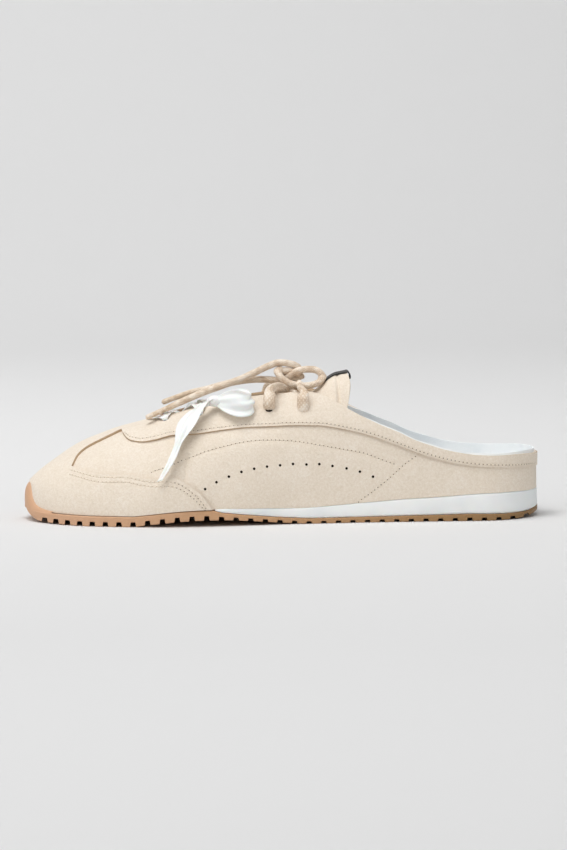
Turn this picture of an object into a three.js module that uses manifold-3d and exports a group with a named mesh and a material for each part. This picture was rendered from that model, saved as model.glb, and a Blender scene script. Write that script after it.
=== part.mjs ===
// Lace-up sneaker mule, left shoe: gum outsole, foam wedge, hollow suede upper open at the heel collar,
// toe overlay, eyestay band, tongue, and its two ties (a cord at the top, a ribbon at the front).
// Frame: x runs from the toe (-) to the heel (+), -y is the lateral side, z is up, the floor is z = 0.
import * as THREE from 'three';
import Module from 'manifold-3d';
import { mergeVertices } from 'three/addons/utils/BufferGeometryUtils.js';

const wasm = await Module();
wasm.setup();

// Driving sizes of the shoe, mm
const LENGTH = 268;
const BALL_WIDTH = 91;
const HEEL_WIDTH = 62;
const INSTEP_HEIGHT = 79.5;
const TOE_HEIGHT = 42.7;
const TOE_ROUND = 80;
const HEEL_ROUND = 32;
const WALL = 2.0;
const OVERLAY = 1.1;
const GAP = 0.3;
const TOE_SWELL_START = 40;
const HEEL_SWELL_START = 20;
const RIDGE_LEAN = 0.04;
const SWELL_REACH = 2.2;

// Sole sizes, mm
const GUM_THICKNESS = 5.1;
const WEDGE_HEIGHT = 10.3;
const ROCKER_LIFT = 3.2;
const NOTCH_WIDTH = 2.7;
const NOTCH_SHARE = 0.46;
const NOTCH_PITCH = 7.6;
const TOE_PITCH = 5.7;
const PITCH_GROWTH = 0.25;
const FIRST_NOTCH = 10.2;
const TOE_BUMPER = 3.9;
const BUMPER_HEIGHT = 15;
const BUMPER_RUN = 12;
const BUMPER_FALL = 4.2;
const BUMPER_ROUND = 2;
const HEEL_SET_BACK = 0.5;
const TOE_ROLL = 8;
const HEEL_EDGE = 4;
const SOLE_EDGE = 0.6;
const GUM_UNDER = 2;
const WEDGE_FRONT = 0.364;

// Fittings, mm
const INSOLE_THICKNESS = 3.2;
const TONGUE_THICKNESS = 2.6;
const TONGUE_CLEARANCE = 0.5;
const TONGUE_SAG = 3.4;
const TONGUE_HALF_WIDTH = 21;
const LABEL_THICKNESS = 0.8;
const LABEL_SHARE = 0.42;
const EYELET_DIAMETER = 4.4;
const EYELET_SETBACK = 9;
const FRONT_EYELET_IN = 2.5;
const HOLE_DEPTH = 14;
const CORD_DIAMETER = 4.6;
const DIVE_IN = 1.5;
const DIVE_DOWN = 0.45;
const TIP_DIAMETER = 3;
const RIBBON_THICKNESS = 1.0;
const RIBBON_BAR_HALF = 2.0;

const TOE = -LENGTH / 2;
const HEEL = LENGTH / 2;

// Widths: at = share of the length from the heel, half and shift = shares of the named width
const OUTLINE = [
  { at: 0.00, of: HEEL_WIDTH, half: 0.490, shift: 0.000 },
  { at: 0.12, of: HEEL_WIDTH, half: 0.495, shift: -0.006 },
  { at: 0.25, of: HEEL_WIDTH, half: 0.485, shift: -0.024 },
  { at: 0.36, of: HEEL_WIDTH, half: 0.476, shift: -0.056 },
  { at: 0.46, of: BALL_WIDTH, half: 0.338, shift: -0.055 },
  { at: 0.56, of: BALL_WIDTH, half: 0.391, shift: -0.055 },
  { at: 0.65, of: BALL_WIDTH, half: 0.449, shift: -0.040 },
  { at: 0.73, of: BALL_WIDTH, half: 0.484, shift: -0.020 },
  { at: 0.81, of: BALL_WIDTH, half: 0.500, shift: 0.007 },
  { at: 0.90, of: BALL_WIDTH, half: 0.527, shift: 0.024 },
  { at: 1.00, of: BALL_WIDTH, half: 0.542, shift: 0.044 },
];

// Ridge of the last: height = share of the named height
const CREST = [
  { at: 0.00, of: INSTEP_HEIGHT, height: 1.157 },
  { at: 0.20, of: INSTEP_HEIGHT, height: 1.132 },
  { at: 0.30, of: INSTEP_HEIGHT, height: 1.082 },
  { at: 0.365, of: INSTEP_HEIGHT, height: 1.000 },
  { at: 0.40, of: INSTEP_HEIGHT, height: 0.950 },
  { at: 0.43, of: INSTEP_HEIGHT, height: 0.912 },
  { at: 0.48, of: INSTEP_HEIGHT, height: 0.874 },
  { at: 0.55, of: INSTEP_HEIGHT, height: 0.830 },
  { at: 0.63, of: INSTEP_HEIGHT, height: 0.767 },
  { at: 0.71, of: INSTEP_HEIGHT, height: 0.689 },
  { at: 0.766, of: TOE_HEIGHT, height: 1.171 },
  { at: 0.817, of: TOE_HEIGHT, height: 1.084 },
  { at: 0.854, of: TOE_HEIGHT, height: 1.000 },
  { at: 0.881, of: TOE_HEIGHT, height: 0.932 },
  { at: 0.91, of: TOE_HEIGHT, height: 0.834 },
  { at: 0.94, of: TOE_HEIGHT, height: 0.703 },
  { at: 0.963, of: TOE_HEIGHT, height: 0.600 },
  { at: 0.985, of: TOE_HEIGHT, height: 0.480 },
  { at: 1.00, of: TOE_HEIGHT, height: 0.386 },
];

// Sole build: lift of the tread, gum and foam = shares of the rocker lift, gum thickness and wedge height
const STACK = [
  { at: 0.00, lift: 0.95, gum: 0.46, foam: 0.86 },
  { at: 0.03, lift: 0.30, gum: 0.54, foam: 1.01 },
  { at: 0.06, lift: 0.10, gum: 0.60, foam: 1.06 },
  { at: 0.10, lift: 0.00, gum: 0.66, foam: 1.04 },
  { at: 0.14, lift: 0.00, gum: 0.70, foam: 0.98 },
  { at: 0.19, lift: 0.00, gum: 0.65, foam: 0.91 },
  { at: 0.27, lift: 0.00, gum: 0.59, foam: 0.83 },
  { at: 0.35, lift: 0.00, gum: 0.55, foam: 0.70 },
  { at: 0.445, lift: 0.00, gum: 0.53, foam: 0.53 },
  { at: 0.50, lift: 0.25, gum: 0.53, foam: 0.44 },
  { at: 0.54, lift: 0.53, gum: 0.55, foam: 0.37 },
  { at: 0.58, lift: 0.81, gum: 0.59, foam: 0.28 },
  { at: 0.61, lift: 0.96, gum: 0.68, foam: 0.21 },
  { at: 0.625, lift: 0.99, gum: 0.76, foam: 0.16 },
  { at: 0.638, lift: 1.00, gum: 0.96, foam: 0.03 },
  { at: 0.66, lift: 1.00, gum: 1.00, foam: 0.00 },
  { at: 0.70, lift: 0.88, gum: 1.00, foam: 0.00 },
  { at: 0.735, lift: 0.62, gum: 1.00, foam: 0.00 },
  { at: 0.765, lift: 0.33, gum: 1.00, foam: 0.00 },
  { at: 0.80, lift: 0.00, gum: 1.03, foam: 0.00 },
  { at: 0.88, lift: 0.00, gum: 1.03, foam: 0.00 },
  { at: 0.92, lift: 0.08, gum: 1.01, foam: 0.00 },
  { at: 0.96, lift: 0.25, gum: 0.95, foam: 0.00 },
  { at: 1.00, lift: 0.60, gum: 0.88, foam: 0.00 },
];

// Section shape: inset of the upper from the sole edge, side bulge, both mm, and fullness of the shoulder
const SECTION = [
  { at: 0.00, inset: 0.6, bulge: 0.6, full: 0.00 },
  { at: 0.20, inset: 0.6, bulge: 0.6, full: 0.00 },
  { at: 0.40, inset: 0.7, bulge: 1.0, full: 0.00 },
  { at: 0.60, inset: 0.8, bulge: 1.8, full: -0.04 },
  { at: 0.75, inset: 1.5, bulge: 2.0, full: -0.05 },
  { at: 0.90, inset: 2.0, bulge: 1.2, full: -0.03 },
  { at: 1.00, inset: 2.2, bulge: 0.0, full: 0.05 },
];

// Collar edge behind the peak of the throat: along = share of the length from the toe,
// up = share of INSTEP_HEIGHT
const COLLAR = [
  { along: 0.553, up: 0.848 },
  { along: 0.579, up: 0.820 },
  { along: 0.605, up: 0.775 },
  { along: 0.632, up: 0.722 },
  { along: 0.661, up: 0.672 },
  { along: 0.687, up: 0.631 },
  { along: 0.722, up: 0.582 },
  { along: 0.752, up: 0.532 },
  { along: 0.785, up: 0.493 },
  { along: 0.810, up: 0.467 },
  { along: 0.836, up: 0.448 },
  { along: 0.872, up: 0.430 },
  { along: 0.921, up: 0.423 },
  { along: 0.960, up: 0.424 },
  { along: 1.010, up: 0.412 },
];

// Lower edge of the eyestay band, from its front tip back round the heel
const BAND_EDGE = [
  { along: 0.186, up: 0.640 },
  { along: 0.190, up: 0.585 },
  { along: 0.205, up: 0.545 },
  { along: 0.224, up: 0.538 },
  { along: 0.250, up: 0.552 },
  { along: 0.287, up: 0.584 },
  { along: 0.328, up: 0.596 },
  { along: 0.381, up: 0.620 },
  { along: 0.444, up: 0.640 },
  { along: 0.507, up: 0.638 },
  { along: 0.563, up: 0.635 },
  { along: 0.619, up: 0.606 },
  { along: 0.668, up: 0.563 },
  { along: 0.728, up: 0.488 },
  { along: 0.765, up: 0.440 },
  { along: 0.795, up: 0.408 },
  { along: 0.828, up: 0.380 },
  { along: 0.869, up: 0.357 },
  { along: 0.933, up: 0.343 },
  { along: 1.010, up: 0.332 },
];

// Upper edge of the toe overlay on the side, from the toe strip back to the sole
const CAP_EDGE = [
  { along: -0.010, up: 0.560 },
  { along: 0.064, up: 0.560 },
  { along: 0.082, up: 0.385 },
  { along: 0.115, up: 0.350 },
  { along: 0.140, up: 0.337 },
  { along: 0.168, up: 0.334 },
  { along: 0.202, up: 0.333 },
  { along: 0.225, up: 0.317 },
  { along: 0.251, up: 0.309 },
  { along: 0.276, up: 0.314 },
  { along: 0.288, up: 0.319 },
  { along: 0.303, up: 0.293 },
  { along: 0.320, up: 0.258 },
  { along: 0.333, up: 0.224 },
  { along: 0.344, up: 0.184 },
  { along: 0.360, up: 0.105 },
  { along: 0.362, up: 0.000 },
];

// Strip of the toe overlay that runs up the ridge: half = share of BALL_WIDTH
const TOE_STRIP = [
  { along: 0.060, half: 0.290 },
  { along: 0.085, half: 0.245 },
  { along: 0.094, half: 0.215 },
  { along: 0.101, half: 0.170 },
  { along: 0.115, half: 0.157 },
  { along: 0.147, half: 0.131 },
  { along: 0.170, half: 0.111 },
  { along: 0.184, half: 0.089 },
];

// Throat slot seen from above: half = share of BALL_WIDTH on each side of the ridge
const THROAT = [
  { along: 0.246, half: 0.000 },
  { along: 0.249, half: 0.038 },
  { along: 0.258, half: 0.065 },
  { along: 0.272, half: 0.078 },
  { along: 0.320, half: 0.093 },
  { along: 0.390, half: 0.112 },
  { along: 0.448, half: 0.122 },
  { along: 0.553, half: 0.146 },
  { along: 0.700, half: 0.190 },
];

// Eyelet rows along the throat, as shares of the length from the toe, front row first
const EYELET_ROWS = [0.272, 0.339, 0.405, 0.472, 0.538];

// Smooth curve through one column of a table, without overshoot
function columnCurve(table, column, key = 'at') {
  const xs = table.map((row) => row[key]);
  const ys = table.map((row) => row[column] * (row.of ?? 1));
  const slopes = xs.slice(1).map((x, i) => (ys[i + 1] - ys[i]) / (x - xs[i]));
  const tangents = ys.map((_, i) => {
    if (i === 0) return slopes[0];
    if (i === ys.length - 1) return slopes[i - 1];
    return slopes[i - 1] * slopes[i] <= 0 ? 0
      : (2 * slopes[i - 1] * slopes[i]) / (slopes[i - 1] + slopes[i]);
  });
  return (value) => {
    const x = Math.min(Math.max(value, xs[0]), xs[xs.length - 1]);
    let i = 0;
    while (i < xs.length - 2 && x > xs[i + 1]) i += 1;
    const step = xs[i + 1] - xs[i];
    const u = (x - xs[i]) / step;
    const v = 1 - u;
    return ys[i] * (1 + 2 * u) * v * v + tangents[i] * step * u * v * v
      + ys[i + 1] * u * u * (3 - 2 * u) - tangents[i + 1] * step * u * u * v;
  };
}

const halfWidth = columnCurve(OUTLINE, 'half');
const centreShift = columnCurve(OUTLINE, 'shift');
const crestHeight = columnCurve(CREST, 'height');
const liftShare = columnCurve(STACK, 'lift');
const gumShare = columnCurve(STACK, 'gum');
const foamShare = columnCurve(STACK, 'foam');
const insetAt = columnCurve(SECTION, 'inset');
const bulgeAt = columnCurve(SECTION, 'bulge');
const fullAt = columnCurve(SECTION, 'full');
const throatHalf = columnCurve(THROAT, 'half', 'along');

const shareAt = (x) => (HEEL - x) / LENGTH;
const alongAt = (x) => (x - TOE) / LENGTH;
const treadHeight = (x) => ROCKER_LIFT * liftShare(shareAt(x));
const gumTop = (x) => treadHeight(x) + GUM_THICKNESS * gumShare(shareAt(x));
const feather = (x) => gumTop(x) + WEDGE_HEIGHT * foamShare(shareAt(x));

// Quarter-ellipse fall of a width towards a rounded end
function endRound(distance, reach) {
  const u = Math.min(Math.max(1 - distance / reach, 0), 1);
  return Math.sqrt(1 - u * u);
}

// Half width and centre line of the plan outline, pulled in by an inset and by its two ends
function outlineAt(x, inset = 0, toeIn = 0, heelIn = 0) {
  const t = shareAt(x);
  const toeFall = endRound(x - (TOE + toeIn), TOE_ROUND - toeIn);
  const heelFall = endRound(HEEL - heelIn - x, HEEL_ROUND - heelIn);
  return { half: (halfWidth(t) - inset) * toeFall * heelFall, centre: centreShift(t) };
}

// The last: point of the upper's outer surface at station x, side -1 or 1, rise angle 0 (sole) to 90 (ridge)
function lastPoint(x, side, angle, grow = 0, sag = 0) {
  const t = shareAt(x);
  const { half, centre } = outlineAt(x, insetAt(t) - grow, TOE_BUMPER - grow, HEEL_SET_BACK - grow);
  const crest = centre + RIDGE_LEAN * half;
  const reach = half + side * (centre - crest);
  const toeFade = endRound(x - (TOE + TOE_BUMPER - grow), TOE_SWELL_START);
  const heelFade = endRound(HEEL - HEEL_SET_BACK + grow - x, HEEL_SWELL_START);
  const swell = bulgeAt(t) * Math.sin(Math.min(SWELL_REACH * angle, Math.PI)) * toeFade * heelFade;
  const across = reach * Math.cos(angle) * (1 + fullAt(t) * Math.sin(2 * angle)) + swell;
  const floor = feather(x) + GAP;
  const rise = crestHeight(t) + grow - floor - sag;
  return [x, crest + side * across, floor + rise * Math.sin(angle)];
}

const ridgeAt = (x) => lastPoint(x, 1, Math.PI / 2)[1];

// Closed mesh to solid and back
function solidFrom(geometry) {
  geometry.deleteAttribute('normal');
  geometry.deleteAttribute('uv');
  const merged = mergeVertices(geometry, 1e-5);
  return new wasm.Manifold(new wasm.Mesh({
    numProp: 3,
    vertProperties: new Float32Array(merged.attributes.position.array),
    triVerts: new Uint32Array(merged.index.array),
  }));
}

function geometryFrom(solid) {
  const mesh = solid.getMesh();
  const geometry = new THREE.BufferGeometry();
  geometry.setAttribute('position', new THREE.BufferAttribute(mesh.vertProperties, 3));
  geometry.setIndex(new THREE.BufferAttribute(mesh.triVerts, 1));
  return geometry;
}

// Closed skin over rings of points; each ring has the same count, and the first and last are capped
function loftSolid(rings) {
  const count = rings[0].length;
  const points = rings.flat();
  const faces = [];
  for (let i = 0; i < rings.length - 1; i += 1) {
    for (let j = 0; j < count; j += 1) {
      const a = i * count + j;
      const b = i * count + ((j + 1) % count);
      faces.push(a, b, a + count, b, b + count, a + count);
    }
  }
  const last = (rings.length - 1) * count;
  for (let j = 1; j < count - 1; j += 1) {
    faces.push(0, j + 1, j);
    faces.push(last, last + j, last + j + 1);
  }
  const geometry = new THREE.BufferGeometry();
  geometry.setAttribute('position', new THREE.Float32BufferAttribute(points.flat(), 3));
  geometry.setIndex(faces);
  const solid = solidFrom(geometry);
  if (solid.volume() > 0) return solid;
  const flipped = [];
  for (let i = 0; i < faces.length; i += 3) flipped.push(faces[i], faces[i + 2], faces[i + 1]);
  const turned = new THREE.BufferGeometry();
  turned.setAttribute('position', new THREE.Float32BufferAttribute(points.flat(), 3));
  turned.setIndex(flipped);
  return solidFrom(turned);
}

// Filled form of the last, grown outwards; its underside lies at floorDrop below the feather line
const STATIONS = 26;
const RISE_STEPS = 7;
const END_TRIM = 0.05;

function lastForm(grow, floorDrop = 0, sag = () => 0) {
  const front = TOE + TOE_BUMPER - grow + END_TRIM;
  const back = HEEL - HEEL_SET_BACK + grow - END_TRIM;
  const rings = [];
  for (let i = 0; i <= STATIONS; i += 1) {
    const x = front + ((back - front) * (1 - Math.cos((Math.PI * i) / STATIONS))) / 2;
    const ring = [];
    for (let j = 0; j <= RISE_STEPS; j += 1) {
      ring.push(lastPoint(x, -1, (Math.PI / 2) * (j / RISE_STEPS), grow, sag(x)));
    }
    for (let j = RISE_STEPS - 1; j >= 0; j -= 1) {
      ring.push(lastPoint(x, 1, (Math.PI / 2) * (j / RISE_STEPS), grow, sag(x)));
    }
    if (floorDrop > 0) {
      const right = ring[ring.length - 1];
      const left = ring[0];
      ring.push([right[0], right[1], right[2] - floorDrop], [left[0], left[1], left[2] - floorDrop]);
    }
    rings.push(ring);
  }
  return loftSolid(rings);
}

// Outline in side view (x, z), carried across the whole width
const ACROSS = 70;
function sideSolid(points) {
  const shape = new THREE.Shape(points.map(([x, z]) => new THREE.Vector2(x, z)));
  const geometry = new THREE.ExtrudeGeometry(shape, { depth: 2 * ACROSS, bevelEnabled: false });
  geometry.rotateX(Math.PI / 2);
  geometry.translate(0, ACROSS, 0);
  return solidFrom(geometry);
}

// Outline in plan (x, y), carried up from low to high
function planSolid(points, low, high) {
  const shape = new THREE.Shape(points.map(([x, y]) => new THREE.Vector2(x, y)));
  const geometry = new THREE.ExtrudeGeometry(shape, { depth: high - low, bevelEnabled: false });
  geometry.translate(0, 0, low);
  return solidFrom(geometry);
}

// Plan outline of the sole or of a smaller layer
const PLAN_STATIONS = 28;
function planOutline(inset, toeIn, heelIn) {
  const front = TOE + toeIn + END_TRIM;
  const back = HEEL - heelIn - END_TRIM;
  const near = [];
  const far = [];
  for (let i = 0; i <= PLAN_STATIONS; i += 1) {
    const x = front + ((back - front) * (1 - Math.cos((Math.PI * i) / PLAN_STATIONS))) / 2;
    const { half, centre } = outlineAt(x, inset, toeIn, heelIn);
    near.push([x, centre - half]);
    far.push([x, centre + half]);
  }
  return [...near, ...far.reverse()];
}

function steps(from, to, count) {
  return Array.from({ length: count + 1 }, (_, i) => from + ((to - from) * i) / count);
}

const sideLine = (table) => table.map((row) => [TOE + row.along * LENGTH, row.up * INSTEP_HEIGHT]);

// Outsole: gum slab with cross ribs under it and a bumper rolled up over the toe
function toeRoll(x) {
  const u = Math.min(Math.max(1 - (x - TOE) / TOE_ROLL, 0), 1);
  return TOE_ROLL * (1 - Math.sqrt(1 - u * u));
}

const underside = (x) => treadHeight(x) + toeRoll(x);

function bumperTop(x) {
  const u = Math.min(Math.max(1 - (x - TOE) / BUMPER_RUN, 0), 1);
  const roll = Math.max(0, 1 - (x - TOE) / TOE_BUMPER);
  return gumTop(x) + BUMPER_HEIGHT * u ** BUMPER_FALL - BUMPER_ROUND * roll * roll;
}

function ribbedUnderside() {
  const line = [0, 0.1, 0.3, 0.6].map((share) => TOE + share * TOE_ROLL).map((x) => [x, underside(x)]);
  let centre = TOE + FIRST_NOTCH;
  let pitch = TOE_PITCH;
  while (centre < HEEL - NOTCH_PITCH) {
    const left = centre - NOTCH_WIDTH / 2;
    const right = centre + NOTCH_WIDTH / 2;
    const depth = NOTCH_SHARE * (gumTop(centre) - treadHeight(centre));
    line.push([left, underside(left)], [left, underside(left) + depth]);
    line.push([right, underside(right) + depth], [right, underside(right)]);
    centre += pitch;
    pitch = Math.min(pitch + PITCH_GROWTH, NOTCH_PITCH);
  }
  line.push([HEEL - HEEL_EDGE, underside(HEEL - HEEL_EDGE)], [HEEL, underside(HEEL)]);
  return line;
}

function topLine(clear = 0) {
  const stations = [HEEL, ...steps(HEEL - HEEL_EDGE, TOE + BUMPER_RUN, 42),
    ...[0.67, 0.45, 0.32, 0.22, 0.13, 0.07, 0].map((share) => TOE + share * BUMPER_RUN)];
  return stations.map((x) => [x + clear, bumperTop(x) + clear]);
}

function outsole() {
  const slab = sideSolid([...ribbedUnderside(), ...topLine()]);
  const plan = planSolid(planOutline(0, 0, 0), -GUM_UNDER, INSTEP_HEIGHT);
  return plan.intersect(slab).subtract(lastForm(GAP, 2 * GAP));
}

// Midsole: white foam wedge, nothing at the ball and full height under the heel
function midsole() {
  const stations = steps(TOE + WEDGE_FRONT * LENGTH, HEEL, 26);
  const under = stations.map((x) => [x, gumTop(x) + GAP]);
  const over = stations.map((x) => [x, feather(x)]).reverse();
  const plan = planSolid(planOutline(SOLE_EDGE, TOE_BUMPER, 0.2), -GUM_UNDER, INSTEP_HEIGHT);
  return plan.intersect(sideSolid([...under, ...over]));
}

// Insole: flat board and sock inside the wall of the upper
function insole() {
  const stations = steps(TOE, HEEL, 34);
  const under = stations.map((x) => [x, feather(x) + GAP]);
  const over = stations.map((x) => [x, feather(x) + GAP + INSOLE_THICKNESS]).reverse();
  return lastForm(-WALL - GAP, 1).intersect(sideSolid([...under, ...over]));
}

// Everything above the collar edge, from the peak of the throat back
function aboveCollar() {
  const line = sideLine(COLLAR);
  const [firstX] = line[0];
  const [lastX] = line[line.length - 1];
  return sideSolid([...line, [lastX, 2 * INSTEP_HEIGHT], [firstX, 2 * INSTEP_HEIGHT]]);
}

// Slot of the throat, widened by a margin
function throatSlot(margin = 0) {
  const front = THROAT[0].along;
  const round = [0, 0.002, 0.007, 0.014, 0.023].map((past) => front + past);
  const shares = [...round, ...steps(front + 0.04, 0.66, 8)];
  const stations = shares.map((along) => TOE + along * LENGTH);
  const near = stations.map((x) => [x - margin, ridgeAt(x) - throatHalf(alongAt(x)) * BALL_WIDTH - margin]);
  const far = stations.map((x) => [x - margin, ridgeAt(x) + throatHalf(alongAt(x)) * BALL_WIDTH + margin]);
  const edge = [...near.slice(1), ...far.slice(1).reverse(), near[0]];
  return planSolid(edge, 0.5 * TOE_HEIGHT, 2 * INSTEP_HEIGHT);
}

// Rise angle at which the band's outer face lies a given distance from the ridge
const BAND_FACE = OVERLAY + GAP;
function angleAt(x, side, fromRidge) {
  let angle = Math.PI / 2;
  while (Math.abs(lastPoint(x, side, angle, BAND_FACE)[1] - ridgeAt(x)) < fromRidge) angle -= 0.005;
  return angle;
}

// Seat of an eyelet: a point on the band's outer face and the way out of it
function eyeletSeat(row, side) {
  const x = TOE + EYELET_ROWS[row] * LENGTH;
  const setback = EYELET_SETBACK - (row === 0 ? FRONT_EYELET_IN : 0);
  const wanted = throatHalf(EYELET_ROWS[row]) * BALL_WIDTH + setback;
  const angle = angleAt(x, side, wanted);
  const at = new THREE.Vector3(...lastPoint(x, side, angle, BAND_FACE));
  const up = new THREE.Vector3(...lastPoint(x, side, angle + 0.02, BAND_FACE)).sub(at);
  const along = new THREE.Vector3(...lastPoint(x + 1, side, angle, BAND_FACE)).sub(at);
  const out = new THREE.Vector3().crossVectors(along, up).normalize();
  if (out.z < 0) out.negate();
  return { at, out, angle };
}

function eyeletHoles() {
  const holes = [];
  EYELET_ROWS.forEach((_, row) => {
    [-1, 1].forEach((side) => {
      const { at, out } = eyeletSeat(row, side);
      const pin = new THREE.CylinderGeometry(EYELET_DIAMETER / 2, EYELET_DIAMETER / 2, HOLE_DEPTH, 8);
      pin.applyQuaternion(new THREE.Quaternion().setFromUnitVectors(new THREE.Vector3(0, 1, 0), out));
      pin.translate(at.x, at.y, at.z);
      holes.push(solidFrom(pin));
    });
  });
  return holes.reduce((all, hole) => all.add(hole));
}

const openings = aboveCollar().add(throatSlot());
const holes = eyeletHoles();

// Upper: one hollow wall on the last, open at the collar, the throat and underneath
function upper() {
  return lastForm(0).subtract(lastForm(-WALL, 4)).subtract(openings).subtract(holes);
}

// Toe overlay: cap round the toe and a strip up the ridge to the eyestay
function toeCap() {
  const below = sideSolid([...sideLine(CAP_EDGE), [TOE - 10, 0]]);
  const stripX = TOE_STRIP.map((row) => TOE + row.along * LENGTH);
  const near = TOE_STRIP.map((row, i) => [stripX[i], ridgeAt(stripX[i]) - row.half * BALL_WIDTH]);
  const far = TOE_STRIP.map((row, i) => [stripX[i], ridgeAt(stripX[i]) + row.half * BALL_WIDTH]);
  const strip = planSolid([...near, ...far.reverse()], 0.4 * TOE_HEIGHT, INSTEP_HEIGHT);
  const shell = lastForm(OVERLAY + GAP).subtract(lastForm(GAP, 4));
  const rim = topLine(GAP);
  const bumper = sideSolid([[TOE - 5, -5], [rim[0][0], -5], ...rim, [TOE - 5, rim[rim.length - 1][1]]]);
  return shell.intersect(below.add(strip)).subtract(bumper);
}

// Eyestay band: round the throat and back along the collar to the heel
function eyestayBand() {
  const line = sideLine(BAND_EDGE);
  const [lastX] = line[line.length - 1];
  const region = sideSolid([...line, [lastX, 2 * INSTEP_HEIGHT], [line[0][0], 2 * INSTEP_HEIGHT]]);
  const shell = lastForm(OVERLAY + GAP).subtract(lastForm(GAP, 4));
  return shell.intersect(region).subtract(openings).subtract(holes);
}

// Tongue: padded flap under the throat; it sags between the eyestays and flares up at its free end
const TONGUE_FRONT = 0.225;
const TONGUE_END = [
  { along: 0.610, up: 0.600 },
  { along: 0.620, up: 0.830 },
  { along: 0.621, up: 0.900 },
  { along: 0.615, up: 0.955 },
  { along: 0.598, up: 1.010 },
];
const LABEL_START = 0.576;

function smooth(from, to, value) {
  const u = Math.min(Math.max((value - from) / (to - from), 0), 1);
  return u * u * (3 - 2 * u);
}

// The tongue sags until its free end, where it flares up: stations as shares of the length from the toe
const SAG_FULL = 0.42;
const SAG_ENDS = 0.552;
const SAG_GONE = 0.608;
const FLARE = 1.0;
const FLARE_START = 0.564;
const FLARE_FULL = 0.594;

function tongueSag(x) {
  const along = alongAt(x);
  const sag = TONGUE_SAG * (smooth(TONGUE_FRONT, SAG_FULL, along) - smooth(SAG_ENDS, SAG_GONE, along));
  return sag - FLARE * smooth(FLARE_START, FLARE_FULL, along);
}

function tongueSheet(raise) {
  const outer = lastForm(raise - WALL - TONGUE_CLEARANCE, 0, tongueSag);
  const inner = lastForm(-raise - WALL - TONGUE_CLEARANCE - TONGUE_THICKNESS, 4, tongueSag);
  return outer.subtract(inner);
}

function tongueRegion(front, halfShare, extend) {
  const stations = steps(front, 0.66, 5);
  const near = stations.map((along, i) => {
    const x = TOE + along * LENGTH;
    return [x, ridgeAt(x) - TONGUE_HALF_WIDTH * halfShare * Math.min(0.6 + 0.2 * i, 1)];
  });
  const far = near.map(([x, y]) => [x, 2 * ridgeAt(x) - y]).reverse();
  const plan = planSolid([...near, ...far], 0.4 * TOE_HEIGHT, 2 * INSTEP_HEIGHT);
  const end = sideLine(TONGUE_END).map(([x, z]) => [x + extend, z + extend]);
  const side = sideSolid([[TOE, 0], [end[0][0], 0], ...end, [TOE, end[end.length - 1][1]]]);
  return plan.intersect(side);
}

function tongue() {
  return tongueSheet(0).intersect(tongueRegion(TONGUE_FRONT, 1, 0));
}

// Blank label folded over the free end of the tongue
function tongueLabel() {
  const reach = GAP + LABEL_THICKNESS;
  const fold = tongueSheet(reach).intersect(tongueRegion(LABEL_START, LABEL_SHARE, reach));
  return fold.subtract(tongueSheet(GAP).intersect(tongueRegion(TONGUE_FRONT, 1.1, GAP)));
}

// Route through a few points, placed by hand
const route = (points) => new THREE.CatmullRomCurve3(points.map((point) => new THREE.Vector3(...point)));

// Round cord along a route
function cordSolid(points, diameter, pieces) {
  const sides = 8;
  const section = new THREE.Shape(steps(0, sides - 1, sides - 1).map((i) => new THREE.Vector2(
    (diameter / 2) * Math.cos((2 * Math.PI * i) / sides),
    (diameter / 2) * Math.sin((2 * Math.PI * i) / sides),
  )));
  const sweep = { steps: pieces, extrudePath: route(points), bevelEnabled: false };
  return solidFrom(new THREE.ExtrudeGeometry(section, sweep));
}

// Flat ribbon along a route; each row gives its centre and half of its width as a vector
function ribbonSolid(rows, pieces) {
  const middle = route(rows.map((row) => row.at));
  const breadth = route(rows.map((row) => row.half));
  const rings = steps(0, 1, pieces).map((u) => {
    const centre = middle.getPoint(u);
    const half = breadth.getPoint(u);
    const face = new THREE.Vector3().crossVectors(middle.getTangent(u), half).normalize()
      .multiplyScalar(RIBBON_THICKNESS / 2);
    return [[1, 1], [-1, 1], [-1, -1], [1, -1]]
      .map(([a, b]) => centre.clone().addScaledVector(half, a).addScaledVector(face, b).toArray());
  });
  return loftSolid(rings);
}

function knotSolid(centre, radii, margin = 0) {
  const ball = new THREE.SphereGeometry(1, 12, 8);
  ball.scale(...radii.map((radius) => radius + margin));
  ball.translate(...centre);
  return solidFrom(ball);
}

// Way from an eyelet up over the eyestay to the edge of the slot, held clear of the suede
function overEyestay(row, side, lean, clear) {
  const seat = eyeletSeat(row, side);
  const edgeX = seat.at.x + lean;
  const edge = angleAt(edgeX, side, throatHalf(alongAt(edgeX)) * BALL_WIDTH);
  return [0, 0.5, 1].map((u) => {
    const angle = seat.angle + u * (edge - seat.angle);
    return lastPoint(seat.at.x + u * lean, side, angle, BAND_FACE + clear);
  });
}

// Crossing over the tongue from an eyelet to one on the other side, or down behind the far edge
function crossing(fromRow, fromSide, toRow, clear, over = true) {
  const start = overEyestay(fromRow, fromSide, 2, clear);
  const end = overEyestay(toRow, -fromSide, -2, clear).reverse();
  const x = (start[2][0] + end[0][0]) / 2;
  const bed = lastPoint(x, 1, Math.PI / 2, -WALL - TONGUE_CLEARANCE, tongueSag(x))[2];
  const middle = [x, ridgeAt(x), bed + clear + 2 * GAP];
  if (over) return [...start, middle, ...end];
  const [edgeX, edgeY] = end[0];
  const dive = [edgeX, edgeY + fromSide * (clear + DIVE_IN), middle[2] - DIVE_DOWN * TONGUE_SAG];
  return [...start, middle, dive];
}

const cordClear = CORD_DIAMETER / 2 + 2 * GAP;
const LAST_ROW = EYELET_ROWS.length - 1;

function laceBars() {
  const outer = cordSolid(crossing(LAST_ROW - 1, -1, LAST_ROW, cordClear), CORD_DIAMETER, 14);
  const under = cordSolid(crossing(LAST_ROW - 1, 1, LAST_ROW, cordClear, false), CORD_DIAMETER, 12);
  return outer.add(under);
}

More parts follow.
